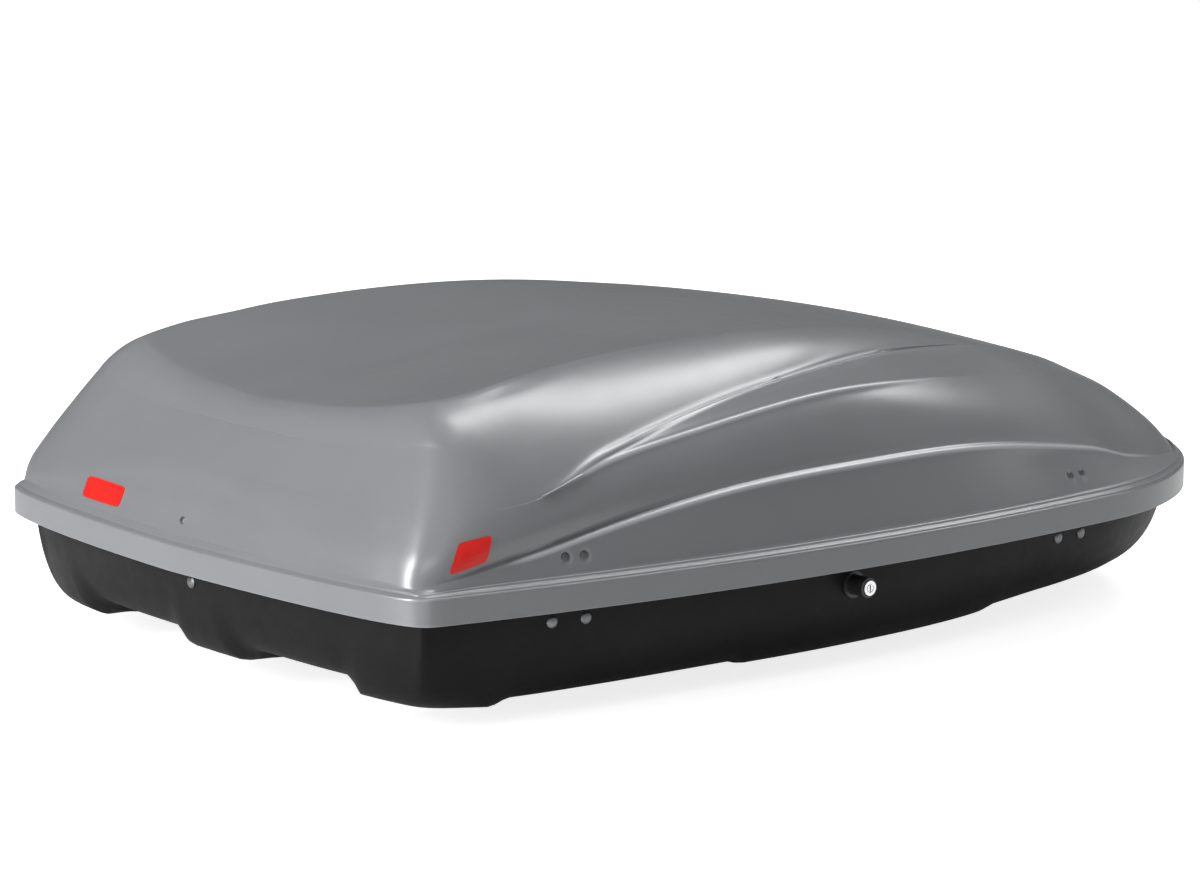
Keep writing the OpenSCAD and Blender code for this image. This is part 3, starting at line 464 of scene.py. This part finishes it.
def lid_details(verts):
    """Rivet dimples on the side panels and the soft arched panel on the rear wall."""
    out = verts.copy()
    for x, side, z in RIVETS:
        r = np.hypot(verts[:, 0] - x, verts[:, 2] - z)
        near = (np.abs(verts[:, 1]) > 300) & (verts[:, 1] * side > 0)
        out[:, 1] -= side * 1.8 * (1 - ramp(r, 5.6, 7.4)) * near
    low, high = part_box("rear_tongue_rivet")
    r = np.hypot(verts[:, 1], verts[:, 2] - (low.z + high.z) / 2 / MM)
    out[:, 0] += 1.8 * (1 - ramp(r, 5.6, 8.4)) * (verts[:, 0] < -620)
    rear = 1 - ramp(verts[:, 0], -655, -640)
    up = verts[:, 2] - RIM_Z
    arch = 98 - 58 * (verts[:, 1] / 330) ** 2
    out[:, 0] += 3.5 * rear * (1 - ramp(up, arch - 11, arch + 11)) * ramp(up, 42, 54)
    return out


def build_lid(material):
    rows, cap, ridge = lid_surface()
    verts, faces = shell_mesh(rows, cap)
    ridge_verts, _ = shell_mesh(np.repeat(ridge[:, :, None], 3, 2), np.zeros_like(cap))
    corner = np.hypot(verts[:, 0] - 540, np.abs(verts[:, 1]) - 170)
    high = ramp(verts[:, 2] - RIM_Z, 62, 92)
    weight = (1 - ramp(corner, 90, 210)) * high
    back = np.hypot(verts[:, 0] + 590, np.abs(verts[:, 1]) - 350)
    weight = np.maximum(weight, 0.25 * (1 - ramp(back, 50, 120)) * high)
    verts = lid_details(polish(verts, faces, weight, 40))
    obj = mesh_object("lid_skin", verts * MM, faces, material)
    obj.data.attributes.new("ridge", "FLOAT", "POINT").data.foreach_set("value", ridge_verts[:, 0])
    wall(obj)
    return obj


def wall(obj):
    """Gives a sheet the moulded wall's thickness, inwards."""
    mod = obj.modifiers.new("wall", "SOLIDIFY")
    mod.thickness = WALL_T * MM
    mod.offset = -1
    return mod


# ---- Tray ----
KEEL_X, KEEL_DROP, CHANNEL_H, BELLY_DROP = -541.0, 8.0, 18.0, 4.5
TRAY_ROUND = 16.0  # smoothing round the corners


def floor_z(x, y):
    """Height of the underside over the bars' plane: keels, channels and the deeper belly."""
    y = np.abs(y)
    keel = np.minimum(0, 0.08 * np.maximum(0, KEEL_X - x) - KEEL_DROP) * (1 - ramp(x, KEEL_X, -515))
    belly = -BELLY_DROP * (ramp(x, -208, -198) - ramp(x, 185, 215))
    channel = ramp(y, 50, 78) * (1 - ramp(y, 236, 255))
    return mix(keel + belly, CHANNEL_H, channel * (1 - ramp(x, -500, -440)))


def wall_gap(v):
    """From the rim's outline in to the tray's wall."""
    return mix(28, 18, ramp(v, 2.2, 2.9))


def tray_rows(v):
    """Rows of the tray's outside from its top edge down to the floor."""
    lip = deep_inset(v, lambda c: wall_gap(c) - 2, 0)
    rows = [lip + np.array([0, 0, z]) for z in (25, 21, 17.5)]
    top = deep_inset(v, wall_gap, 0)
    rows += [mix(rows[2], top, t) for t in (0.25, 0.5, 0.75)]
    p = curve(KNOTS, FLOOR_EDGE, v)
    x, y = p[:, 0], np.maximum(0, p[:, 1])
    foot = np.column_stack([x, y, floor_z(x, y) + BAR_Z])
    m = mix(top, foot, 0.17)
    m[:, 2] = foot[:, 2]
    for k in np.linspace(0, 1, 27):
        rows.append((1 - k) ** 2 * top + 2 * k * (1 - k) * m + k * k * foot)
    return np.array(rows)


def build_tray(material):
    rows = tray_rows(HALF)
    rows = round_corner(rows, np.full(len(rows), TRAY_ROUND))
    x, y, _, _, _, _ = cap_xy(rows[-1])
    cap = np.stack([x, y, floor_z(x, y) + BAR_Z], -1)
    verts, faces = shell_mesh(rows, cap)
    obj = mesh_object("tray_skin", verts * MM, faces[:, ::-1], material)
    wall(obj)
    return obj


def build_trim(material):
    """Rubber channel over the top of the tray's wall, with rounded lips."""
    v = HALF
    leg, lip = 1.5, 0.1
    outline = [(-lip, 20), (-lip, 25.1), (WALL_T + lip, 25.1), (WALL_T + lip, 20)]
    outline += [(WALL_T + lip + leg * (0.5 + 0.5 * math.cos(a)), 20 - 0.7 * math.sin(a))
                for a in np.linspace(math.pi * 0.9, 0, 5)]
    outline += [(WALL_T / 2 + (WALL_T / 2 + lip + leg) * math.cos(a), 26.2 + 1.9 * math.sin(a))
                for a in np.linspace(0, math.pi, 11)]
    outline += [(-lip - leg * (0.5 + 0.5 * math.cos(a)), 20 - 0.7 * math.sin(a))
                for a in np.linspace(0, math.pi * 0.9, 5)]
    rows = np.array([deep_inset(v, lambda c, d=d: wall_gap(c) - 2 + d, z) for d, z in outline])
    rings = both_sides(round_corner(rows, np.full(len(rows), TRAY_ROUND)))
    n, loop = rings.shape[:2]
    i = np.arange(loop)
    i2 = (i + 1) % loop
    faces = np.vstack([np.stack([k * loop + i, (k + 1) % n * loop + i, (k + 1) % n * loop + i2,
                                 k * loop + i2], -1) for k in range(n)])
    return mesh_object("trim_seal", rings.reshape(-1, 3) * MM, faces, material)


# ---- Small pieces ----
def lathe(name, profile, places, material):
    """A turned shape at each place; profile is (radius, height) and a place is (point, normal)."""
    segments = 36
    verts, faces = [], []
    for point, normal in places:
        turn = Vector(normal).to_track_quat("Z", "Y").to_matrix()
        first = len(verts)
        for r, z in profile:
            for s in range(segments):
                a = 2 * math.pi * s / segments
                verts.append(Vector(point) + turn @ Vector((r * math.cos(a), r * math.sin(a), z)))
        for k in range(len(profile) - 1):
            for s in range(segments):
                s2 = (s + 1) % segments
                a, b = first + k * segments, first + (k + 1) * segments
                faces.append((a + s, a + s2, b + s2, b + s))
        last = first + (len(profile) - 1) * segments
        faces.append(tuple(first + s for s in reversed(range(segments))))
        faces.append(tuple(last + s for s in range(segments)))
    return mesh_object(name, [v * MM for v in verts], faces, material)


RIVET_PROFILE = [(2.4, -2.4), (4.9, -1.4), (5.1, -0.4), (4.8, 0.3), (4.0, 0.85), (2.6, 1.2), (1.2, 1.35)]


def surface_bvh(obj):
    mesh = obj.data
    return BVHTree.FromPolygons([v.co.copy() for v in mesh.vertices],
                                [tuple(p.vertices) for p in mesh.polygons])


def patch(name, tree, corners, material, n=60, m=40, lift=0.0006, thick=0.0004):
    """A thin film with rounded corners that follows the lid; corners(s, t) gives a point near it."""
    sheet = np.zeros((n + 1, m + 1, 3))
    up = np.zeros((n + 1, m + 1, 3))
    for i in range(n + 1):
        for j in range(m + 1):
            s, t = 2 * i / n - 1, 2 * j / m - 1
            # Squeeze the square's corners into a rounded outline.
            k = 1 - 0.09 * (abs(s) ** 6) * (abs(t) ** 6)
            near = Vector(corners(0.5 + 0.5 * s * k, 0.5 + 0.5 * t * k)) * MM
            hit, normal, _, _ = tree.find_nearest(near)
            sheet[i, j] = hit
            up[i, j] = normal
    for _ in range(6):
        up[1:-1, 1:-1] = (up[:-2, 1:-1] + up[2:, 1:-1] + up[1:-1, :-2] + up[1:-1, 2:]) / 4
    up /= np.linalg.norm(up, axis=2)[:, :, None]
    low, high = sheet + up * lift * 0.2, sheet + up * (lift + thick)
    verts = np.vstack([low.reshape(-1, 3), high.reshape(-1, 3)])
    row, layer = m + 1, (n + 1) * (m + 1)
    faces = []
    for i in range(n):
        for j in range(m):
            a = i * row + j
            q = (a, a + 1, a + row + 1, a + row)
            faces += [q, tuple(reversed([layer + x for x in q]))]
    edge = ([(i * row, (i + 1) * row) for i in range(n)]
            + [(n * row + j, n * row + j + 1) for j in range(m)]
            + [((i + 1) * row + m, i * row + m) for i in reversed(range(n))]
            + [(j + 1, j) for j in reversed(range(m))])
    faces += [(a, b, layer + b, layer + a) for a, b in edge]
    # The corners run the other way round on the rear and the +Y side.
    if np.cross(sheet[-1, 0] - sheet[0, 0], sheet[0, -1] - sheet[0, 0]) @ up[0, 0] < 0:
        faces = [tuple(reversed(face)) for face in faces]
    obj = mesh_object(name, verts, faces, material)
    obj.data.set_sharp_from_angle(angle=math.radians(50))
    return obj


def sticker_corners(v0, v1, t0, t1, side):
    def corners(s, t):
        v = np.array([mix(v0, v1, s)])
        low = guide(SWAGE, v)
        depth = SWAGE_STEP * (ramp(v, 1.02, 1.13) - ramp(v, 2.2, 2.45))
        low = low + np.column_stack([inward(v) * depth[:, None], 0.35 * depth + 0.3])
        p = bowed(v, low, guide(SHOULDER, v), 14, [mix(t0, t1, t)])[0][0]
        return p[0], p[1] * side, p[2]
    return corners


def ribbon(name, path, width, thick, material, across=(1, 0, 0)):
    """A flat band along the path, with a slightly crowned section."""
    path = np.array(path, float)
    across = np.array(across, float)
    along = np.gradient(path, axis=0)
    along /= np.linalg.norm(along, axis=1)[:, None]
    up = np.cross(np.broadcast_to(across, along.shape), along)
    section = []
    for s in np.linspace(-1, 1, 11):
        section.append((s * width / 2, thick / 2 * math.sqrt(max(0.05, 1 - abs(s) ** 14))))
    section += [(x, -z) for x, z in reversed(section)]
    n, m = len(path), len(section)
    verts = [path[i] + across * x + up[i] * z for i in range(n) for x, z in section]
    faces = [(i * m + k, i * m + (k + 1) % m, (i + 1) * m + (k + 1) % m, (i + 1) * m + k)
             for i in range(n - 1) for k in range(m)]
    faces += [tuple(reversed(range(m))), tuple((n - 1) * m + k for k in range(m))]
    return mesh_object(name, np.array(verts) * MM, faces, material)


def blocks(name, boxes, material):
    """Rounded blocks in one mesh; each is (low corner, high corner, tilt about X in degrees)."""
    bevel = 1.0
    bm = bmesh.new()
    for low, high, tilt in boxes:
        low, high = Vector(low) * MM, Vector(high) * MM
        made = bmesh.ops.create_cube(bm, size=1)["verts"]
        turn = Matrix.Rotation(math.radians(tilt), 4, "X")
        size = high - low
        place = Matrix.Translation((low + high) / 2) @ turn @ Matrix.Diagonal((*size, 1))
        bmesh.ops.transform(bm, matrix=place, verts=made)
        edges = list({e for v in made for e in v.link_edges})
        bmesh.ops.bevel(bm, geom=edges, offset=min(bevel * MM, min(size) * 0.4), segments=3,
                        profile=0.5, affect="EDGES")
    mesh = bpy.data.meshes.new(name)
    bm.to_mesh(mesh)
    bm.free()
    mesh.polygons.foreach_set("use_smooth", [True] * len(mesh.polygons))
    obj = bpy.data.objects.new(name, mesh)
    bpy.context.scene.collection.objects.link(obj)
    mesh.materials.append(material)
    return obj


# ---- Materials ----
class Finish:
    """A node material built step by step around one Principled shader."""

    def __init__(self, name, metallic=0.0):
        self.mat = bpy.data.materials.new(name)
        self.mat.use_nodes = True
        self.tree = self.mat.node_tree
        self.shader = self.tree.nodes["Principled BSDF"]
        self.shader.inputs["Metallic"].default_value = metallic
        self.place = self.add("ShaderNodeTexCoord").outputs["Object"]
        self.normal = None

    def add(self, kind, inputs=(), **settings):
        node = self.tree.nodes.new(kind)
        for key, value in settings.items():
            setattr(node, key, value)
        for key, value in dict(inputs).items():
            if isinstance(value, bpy.types.NodeSocket):
                self.tree.links.new(value, node.inputs[key])
            else:
                node.inputs[key].default_value = value
        return node

    def math(self, operation, a, b=0.0):
        return self.add("ShaderNodeMath", {0: a, 1: b}, operation=operation).outputs[0]

    def noise(self, scale, detail=3.0, stretch=(1, 1, 1), rough=0.5):
        place = self.add("ShaderNodeMapping", {"Vector": self.place, "Scale": stretch}).outputs[0]
        return self.add("ShaderNodeTexNoise", {"Vector": place, "Scale": scale, "Detail": detail,
                                               "Roughness": rough}).outputs["Fac"]

    def cells(self, scale, feature="F1"):
        return self.add("ShaderNodeTexVoronoi", {"Vector": self.place, "Scale": scale},
                        feature=feature).outputs["Distance"]

    def span(self, value, low, high, start=0.3, end=0.7):
        return self.add("ShaderNodeMapRange", {"Value": value, "From Min": start, "From Max": end,
                                               "To Min": low, "To Max": high}).outputs[0]

    def tint(self, factor, dark, light):
        node = self.add("ShaderNodeMix", data_type="RGBA")
        sockets = [s for s in node.inputs if s.enabled]
        self.tree.links.new(factor, sockets[0])
        for socket, colour in zip(sockets[1:], (dark, light)):
            if isinstance(colour, bpy.types.NodeSocket):
                self.tree.links.new(colour, socket)
            else:
                socket.default_value = (*colour, 1)
        return [s for s in node.outputs if s.enabled][0]

    def sharp_edges(self, gain=9.0):
        """0 on flats to 1 on sharp outer edges."""
        sharp = self.add("ShaderNodeNewGeometry").outputs["Pointiness"]
        return self.span(sharp, 0, 1, 0.5 + 0.2 / gain, 0.5 + 1.2 / gain)

    def soft_edges(self, radius):
        self.normal = self.add("ShaderNodeBevel", {"Radius": radius}, samples=4).outputs[0]

    def bump(self, height, strength, distance):
        inputs = {"Height": height, "Strength": strength, "Distance": distance}
        if self.normal is not None:
            inputs["Normal"] = self.normal
        self.normal = self.add("ShaderNodeBump", inputs).outputs[0]

    def done(self, colour, rough, **extra):
        link = self.tree.links.new
        for key, value in {"Base Color": colour, "Roughness": rough, **extra}.items():
            if isinstance(value, bpy.types.NodeSocket):
                link(value, self.shader.inputs[key])
            else:
                self.shader.inputs[key].default_value = value
        if self.normal is not None:
            link(self.normal, self.shader.inputs["Normal"])
        return self.mat


def grey_lid():
    """Satin moulded sheet with a fine grain and light dust specks; paler worn edges that are partly a
    painted highlight, and a painted highlight along the crease beads.
    """
    f = Finish("lid_grey_satin")
    cloud, fine = f.noise(5, 4), f.noise(900, 2)
    colour = f.tint(f.span(cloud, 0, 1), (0.107, 0.111, 0.117), (0.117, 0.122, 0.128))
    speck = f.tint(f.span(f.noise(2600, 1), 0, 0.16), colour, (0.24, 0.25, 0.26))
    # Sharp outer edges are tinted paler: partly edge wear, partly a painted highlight along the convex
    # edges.
    edge = f.math("MULTIPLY", f.sharp_edges(14), 0.4)
    # Painted highlight: the tops of the crease beads are tinted pale to stand in for the bright
    # highlight lines along the creases.
    ridge = f.add("ShaderNodeAttribute", attribute_name="ridge").outputs["Fac"]
    painted_ridge_highlight = f.math("MULTIPLY", f.span(ridge, 0, 1, 0.35, 1.0), 0.55)
    colour = f.tint(painted_ridge_highlight, f.tint(edge, speck, (0.36, 0.37, 0.38)), (0.42, 0.43, 0.45))
    rough = f.math("ADD", f.span(f.noise(40, 5), 0.26, 0.30), f.math("MULTIPLY", fine, 0.05))
    f.bump(fine, 0.13, 0.0003)
    return f.done(colour, rough, **{"Specular IOR Level": 0.55, "Coat Weight": 0.12,
                                    "Coat Roughness": 0.22})


def black_tray():
    """Matt black moulded sheet with a leather grain."""
    f = Finish("tray_black_grain")
    cell = f.cells(420, "SMOOTH_F1")
    grain = f.math("ADD", cell, f.math("MULTIPLY", f.noise(900, 3), 0.5))
    colour = f.tint(f.span(f.noise(9, 5), 0, 1), (0.0035, 0.0035, 0.004), (0.006, 0.006, 0.0065))
    colour = f.tint(f.math("MULTIPLY", f.sharp_edges(12), 0.25), colour, (0.05, 0.05, 0.052))
    f.bump(grain, 0.28, 0.0005)
    return f.done(colour, f.span(f.noise(60, 4), 0.44, 0.50), **{"Specular IOR Level": 0.12})


def black_plastic():
    f = Finish("plastic_black_fine")
    f.soft_edges(0.0009)
    fine = f.noise(1400, 3)
    colour = f.tint(f.span(f.noise(30, 4), 0, 1), (0.011, 0.011, 0.012), (0.020, 0.020, 0.021))
    f.bump(fine, 0.25, 0.0003)
    return f.done(colour, f.span(f.noise(80, 3), 0.32, 0.46))


def rubber():
    f = Finish("rubber_black_dusty")
    f.soft_edges(0.0005)
    colour = f.tint(f.span(f.noise(70, 6), 0, 1), (0.012, 0.012, 0.012), (0.028, 0.028, 0.027))
    f.bump(f.noise(700, 4), 0.3, 0.0003)
    return f.done(colour, f.span(f.noise(120, 3), 0.62, 0.8))


def metal(name, dark, light, rough, brush=(1, 1, 1), patches=True, radius=0.0006):
    """Plated or drawn metal: fine brushing along one axis and, for zinc, cloudy spangle."""
    f = Finish(name, 1.0)
    f.soft_edges(radius)
    fac = f.cells(95, "F1") if patches else f.noise(50, 3)
    colour = f.tint(f.span(fac, 0, 1, 0.1, 0.9), dark, light)
    lines = f.noise(500, 4, brush)
    f.bump(lines, 0.12, 0.00015)
    return f.done(colour, f.math("ADD", f.span(f.noise(35, 5), rough[0], rough[1]),
                                 f.math("MULTIPLY", lines, 0.06)))


def webbing():
    """Flat woven polyester: ribs along the band crossed by tight weft rows."""
    f = Finish("webbing_weave")
    parts = f.add("ShaderNodeSeparateXYZ", {0: f.place})
    rib = f.math("SINE", f.math("MULTIPLY", parts.outputs[0], 3900.0))
    weft = f.math("SINE", f.math("ADD", f.math("MULTIPLY", parts.outputs[1], 4700.0),
                                 f.math("MULTIPLY", rib, 1.3)))
    height = f.math("ADD", f.math("MULTIPLY", f.math("ABSOLUTE", rib), 0.6), weft)
    fuzz = f.noise(2200, 4)
    colour = f.tint(f.span(height, 0, 1, -0.8, 1.4), (0.012, 0.012, 0.014), (0.050, 0.050, 0.056))
    colour = f.tint(f.span(fuzz, 0, 0.4), colour, (0.09, 0.09, 0.095))
    f.bump(height, 0.7, 0.0004)
    f.bump(fuzz, 0.3, 0.0002)
    return f.done(colour, 0.78, **{"Sheen Weight": 0.35, "Sheen Roughness": 0.4})


def red_film():
    """Satin printed film with faint ripples."""
    f = Finish("film_red_gloss")
    colour = f.tint(f.span(f.noise(18, 4), 0, 1), (0.44, 0.007, 0.004), (0.50, 0.009, 0.005))
    f.bump(f.noise(160, 2), 0.06, 0.0004)
    return f.done(colour, f.span(f.noise(90, 3), 0.28, 0.36), **{"Specular IOR Level": 0.3})


LID = grey_lid()
TRAY = black_tray()
PLASTIC = black_plastic()
RUBBER = rubber()
ZINC = metal("zinc_spangle", (0.46, 0.47, 0.49), (0.62, 0.63, 0.65), (0.28, 0.42))
STEEL = metal("steel_drawn", (0.55, 0.56, 0.58), (0.72, 0.73, 0.75), (0.14, 0.24), (1, 1, 0.05), False)
CHROME = metal("chrome_polished", (0.80, 0.80, 0.82), (0.88, 0.88, 0.90), (0.05, 0.12), (1, 1, 1),
               False, 0.0004)
RIVET = metal("rivet_aluminium", (0.14, 0.143, 0.147), (0.21, 0.214, 0.218), (0.34, 0.46), (1, 1, 1),
              False)
DARK_RIVET = metal("rivet_painted", (0.08, 0.082, 0.086), (0.13, 0.133, 0.137), (0.36, 0.46), (1, 1, 1),
                   False)
WEB = webbing()
FILM = red_film()


def dress(name, material):
    """Gives a CAD node its finish and smooths its curved faces."""
    mesh = nodes[name].data
    mesh.materials.clear()
    mesh.materials.append(material)
    mesh.polygons.foreach_set("material_index", [0] * len(mesh.polygons))
    mesh.polygons.foreach_set("use_smooth", [True] * len(mesh.polygons))
    mesh.set_sharp_from_angle(angle=math.radians(32))


# ---- Assembly ----
def add_piece(obj, body, slot_name, *stands_for):
    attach(obj, body)
    if stands_for:
        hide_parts(*stands_for)
    return obj


lid = build_lid(LID)
lid_tree = surface_bvh(lid)
add_piece(lid, "lid", "lid_grey", "lid_shell")
add_piece(build_tray(TRAY), "base", "tray_black", "base_shell")
add_piece(build_trim(RUBBER), "base", "rubber_black", "edge_trim")

heads = []
for x, side, z in RIVETS:
    v = np.array([side_v(x)])
    foot = Vector((x, side * 600, z)) * MM
    hit = lid_tree.ray_cast(foot, Vector((0, -side, 0)))[0] / MM
    n = inward(v)[0]
    heads.append(((hit.x, hit.y, hit.z), (-n[0], -side * n[1], 0.12)))
low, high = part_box("rear_tongue_rivet")
hit = lid_tree.ray_cast(Vector((-2, 0, (low.z + high.z) / 2)), Vector((1, 0, 0)))[0] / MM
heads.append(((hit.x, 0, hit.z), (-1, 0, 0.35)))
add_piece(lathe("lid_rivet_heads", RIVET_PROFILE, heads, DARK_RIVET), "lid", "rivet_grey",
          "striker_rivets", "hinge_lid_rivets", "rear_tongue_rivet")

for side, word in ((-1, "right"), (1, "left")):
    film = patch("side_film_" + word, lid_tree, sticker_corners(1.02, 1.072, 0.12, 0.6, side), FILM)
    if side < 0:
        add_piece(film, "lid", "sticker_red", "side_stickers")
    else:
        add_piece(film, "lid", "sticker_red")
add_piece(patch("rear_film", lid_tree, sticker_corners(0.27, 0.45, 0.10, 0.42, 1), FILM),
          "lid", "sticker_red", "rear_sticker")

# ---- Luggage straps ----
web_low, web_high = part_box("lashing_straps")
buckle_low, buckle_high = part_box("strap_buckles")
BUCKLE_Y = (buckle_low.y + buckle_high.y) / 2 / MM
WEB_Z = (web_low.z + web_high.z) / 2 / MM
WEB_END = web_high.y / MM
WEB_W, WEB_T = 25.0, 1.6
CLAMP_Y = 230.0


def web_height(y):
    """The band rests on the rails and anchors and sags to the floor between them."""
    held = max(1 - ramp(abs(abs(y) - CLAMP_Y), 26, 62), 1 - ramp(abs(y - BUCKLE_Y), 18, 56),
               ramp(abs(y), WEB_END - 44, WEB_END - 12))
    return mix(0.9 + BAR_Z, WEB_Z, held)


x_low, x_high = web_low.x / MM + WEB_W / 2, web_high.x / MM - WEB_W / 2
buckles = []
for word, x in (("rear", x_low), ("front", x_high)):
    ys = np.linspace(-WEB_END, WEB_END, 180)
    band = ribbon("webbing_" + word, [(x, y, web_height(y)) for y in ys], WEB_W, WEB_T, WEB)
    add_piece(band, "base", "webbing", *(["lashing_straps"] if word == "rear" else []))
    ys = np.linspace(BUCKLE_Y - 6, BUCKLE_Y + 128, 60)
    curl = [(x + 1.5 + 3 * ramp(y, BUCKLE_Y + 40, BUCKLE_Y + 128), y,
             web_height(y) + 2.2 + 2.4 * math.sin((y - BUCKLE_Y) / 21) ** 2
             + 9 * ramp(y, BUCKLE_Y + 96, BUCKLE_Y + 128)) for y in ys]
    add_piece(ribbon("webbing_tail_" + word, curl, WEB_W, WEB_T, WEB), "base", "webbing")
    z = WEB_Z
    for s in (-1, 1):
        buckles.append(((x + s * 16 - 2.6, BUCKLE_Y - 15, z - 1.8),
                        (x + s * 16 + 2.6, BUCKLE_Y + 15, z + 5.2), 0))
    buckles.append(((x - 14, BUCKLE_Y - 15, z - 2), (x + 14, BUCKLE_Y - 10.5, z + 1.9), 0))
    buckles.append(((x - 14, BUCKLE_Y + 9.5, z - 2), (x + 14, BUCKLE_Y + 14, z + 0.6), 0))
    buckles.append(((x - 12.8, BUCKLE_Y - 12, z + 2.6), (x + 12.8, BUCKLE_Y + 11, z + 6.2), -4))
    for k in range(4):
        y = BUCKLE_Y + 1.5 + 3 * k
        buckles.append(((x - 10, y - 0.7, z + 4.6), (x + 10, y + 0.7, z + 6.7), 0))
add_piece(blocks("cam_buckles", buckles, PLASTIC), "base", "plastic_black", "strap_buckles")

for name, material in (
        ("hinge_base_leaves", ZINC), ("hinge_lid_leaves", ZINC), ("hinge_pins", STEEL),
        ("hinge_base_rivets", RIVET), ("lock_boss", PLASTIC), ("lock_cylinder", CHROME),
        ("lock_cam", ZINC), ("push_bar", ZINC), ("bar_guides", PLASTIC), ("lid_strikers", ZINC),
        ("guide_rivets", RIVET), ("rear_tongue", ZINC), ("rear_socket", PLASTIC),
        ("rear_socket_rivet", RIVET), ("stay_tubes", PLASTIC), ("stay_rods", STEEL),
        ("stay_base_brackets", PLASTIC), ("stay_lid_brackets", PLASTIC), ("floor_rails", ZINC),
        ("clamp_plates", PLASTIC), ("strap_anchors", PLASTIC)):
    dress(name, material)
for corner in ("front_right", "front_left", "rear_right", "rear_left"):
    dress("clamp_strap_" + corner, ZINC)
    dress("clamp_yoke_" + corner, ZINC)
    dress("clamp_knob_" + corner, PLASTIC)


# ---- Stage, light and camera ----
def floor_sheet():
    """Pale floor just under the clamps; it also glows a little, but only to the camera."""
    f = Finish("studio_floor")
    colour = f.tint(f.span(f.noise(1.5, 3), 0, 1), (0.80, 0.80, 0.80), (0.83, 0.83, 0.83))
    f.bump(f.noise(60, 4), 0.02, 0.001)
    seen = f.add("ShaderNodeLightPath").outputs["Is Camera Ray"]
    material = f.done(colour, 0.62, **{"Emission Color": (1, 1, 1, 1),
                                       "Emission Strength": f.math("MULTIPLY", seen, 0.80)})
    bm = bmesh.new()
    bmesh.ops.create_grid(bm, x_segments=24, y_segments=24, size=9)
    mesh = bpy.data.meshes.new("studio_floor")
    bm.to_mesh(mesh)
    bm.free()
    obj = bpy.data.objects.new("studio_floor", mesh)
    bpy.context.scene.collection.objects.link(obj)
    mesh.materials.append(material)
    obj.location.z = cad_bounds[0][2] - 0.001


def softbox(name, place, target, size, power):
    """A rectangular light, in metres and watts."""
    data = bpy.data.lights.new(name, "AREA")
    data.shape = "RECTANGLE"
    data.size, data.size_y = size
    data.energy = power
    obj = bpy.data.objects.new(name, data)
    bpy.context.scene.collection.objects.link(obj)
    obj.location = place
    obj.rotation_euler = (Vector(target) - Vector(place)).to_track_quat("-Z", "Y").to_euler()


def studio():
    """White backdrop for the camera; what the surfaces reflect is bright on the camera's side
    and dark behind the box, so its top reads darker than its walls."""
    world = bpy.data.worlds.new("studio")
    world.use_nodes = True
    tree = world.node_tree
    node, link = tree.nodes.new, tree.links.new
    back = tree.nodes["Background"]
    toward = node("ShaderNodeVectorMath")
    toward.operation = "DOT_PRODUCT"
    toward.inputs[1].default_value = (-0.60, -0.76, 0.10)
    link(node("ShaderNodeTexCoord").outputs["Generated"], toward.inputs[0])
    level = node("ShaderNodeMapRange")
    link(toward.outputs["Value"], level.inputs["Value"])
    for key, value in (("From Min", -1.0), ("From Max", 0.7), ("To Min", 0.10), ("To Max", 0.52)):
        level.inputs[key].default_value = value
    seen = node("ShaderNodeLightPath").outputs["Is Camera Ray"]
    strength = node("ShaderNodeMix")
    link(seen, strength.inputs[0])
    link(level.outputs[0], strength.inputs[2])
    strength.inputs[3].default_value = 1.0
    link(strength.outputs[0], back.inputs["Strength"])
    back.inputs["Color"].default_value = (1.0, 1.0, 1.0, 1)
    scene = bpy.context.scene
    scene.world = world
    scene.view_settings.view_transform = "Standard"
    softbox("strip_left", (-3.5, 0.0, 1.35), (-0.62, -0.35, 0.3), (0.45, 2.8), 175)
    softbox("key_left", (-2.6, -3.0, 2.6), (-0.2, 0, 0.2), (1.8, 1.4), 26)
    softbox("top_nose", (1.3, -0.05, 2.85), (0.1, -0.1, 0.25), (0.8, 3.2), 76)
    softbox("nose_right", (3.3, -1.9, 0.8), (0.6, 0, 0.15), (0.4, 1.5), 5)
    softbox("overhead", (-0.1, 0.2, 3.2), (0, 0, 0.2), (2.4, 1.6), 13)


def camera():
    """The fitted viewpoint: where it stands over the rim, where it looks, roll and lens."""
    place_over_rim = Vector((-3.54752, -4.23448, 1.08879))
    forward = Vector((0.62276, 0.76126, -0.18036)).normalized()
    right = forward.cross(Vector((0, 0, 1))).normalized()
    up = right.cross(forward)
    roll = math.radians(0.3408)
    r = right * math.cos(roll) + up * math.sin(roll)
    u = up * math.cos(roll) - right * math.sin(roll)
    data = bpy.data.cameras.new("photo_view")
    data.sensor_width, data.lens = 36.0, 136.744
    data.clip_end = 60
    obj = bpy.data.objects.new("photo_view", data)
    turn = Matrix((r, u, -forward)).transposed().to_4x4()
    obj.matrix_world = Matrix.Translation(place_over_rim + Vector((0, 0, RIM_Z * MM))) @ turn
    bpy.context.scene.collection.objects.link(obj)
    bpy.context.scene.camera = obj


floor_sheet()
studio()
camera()
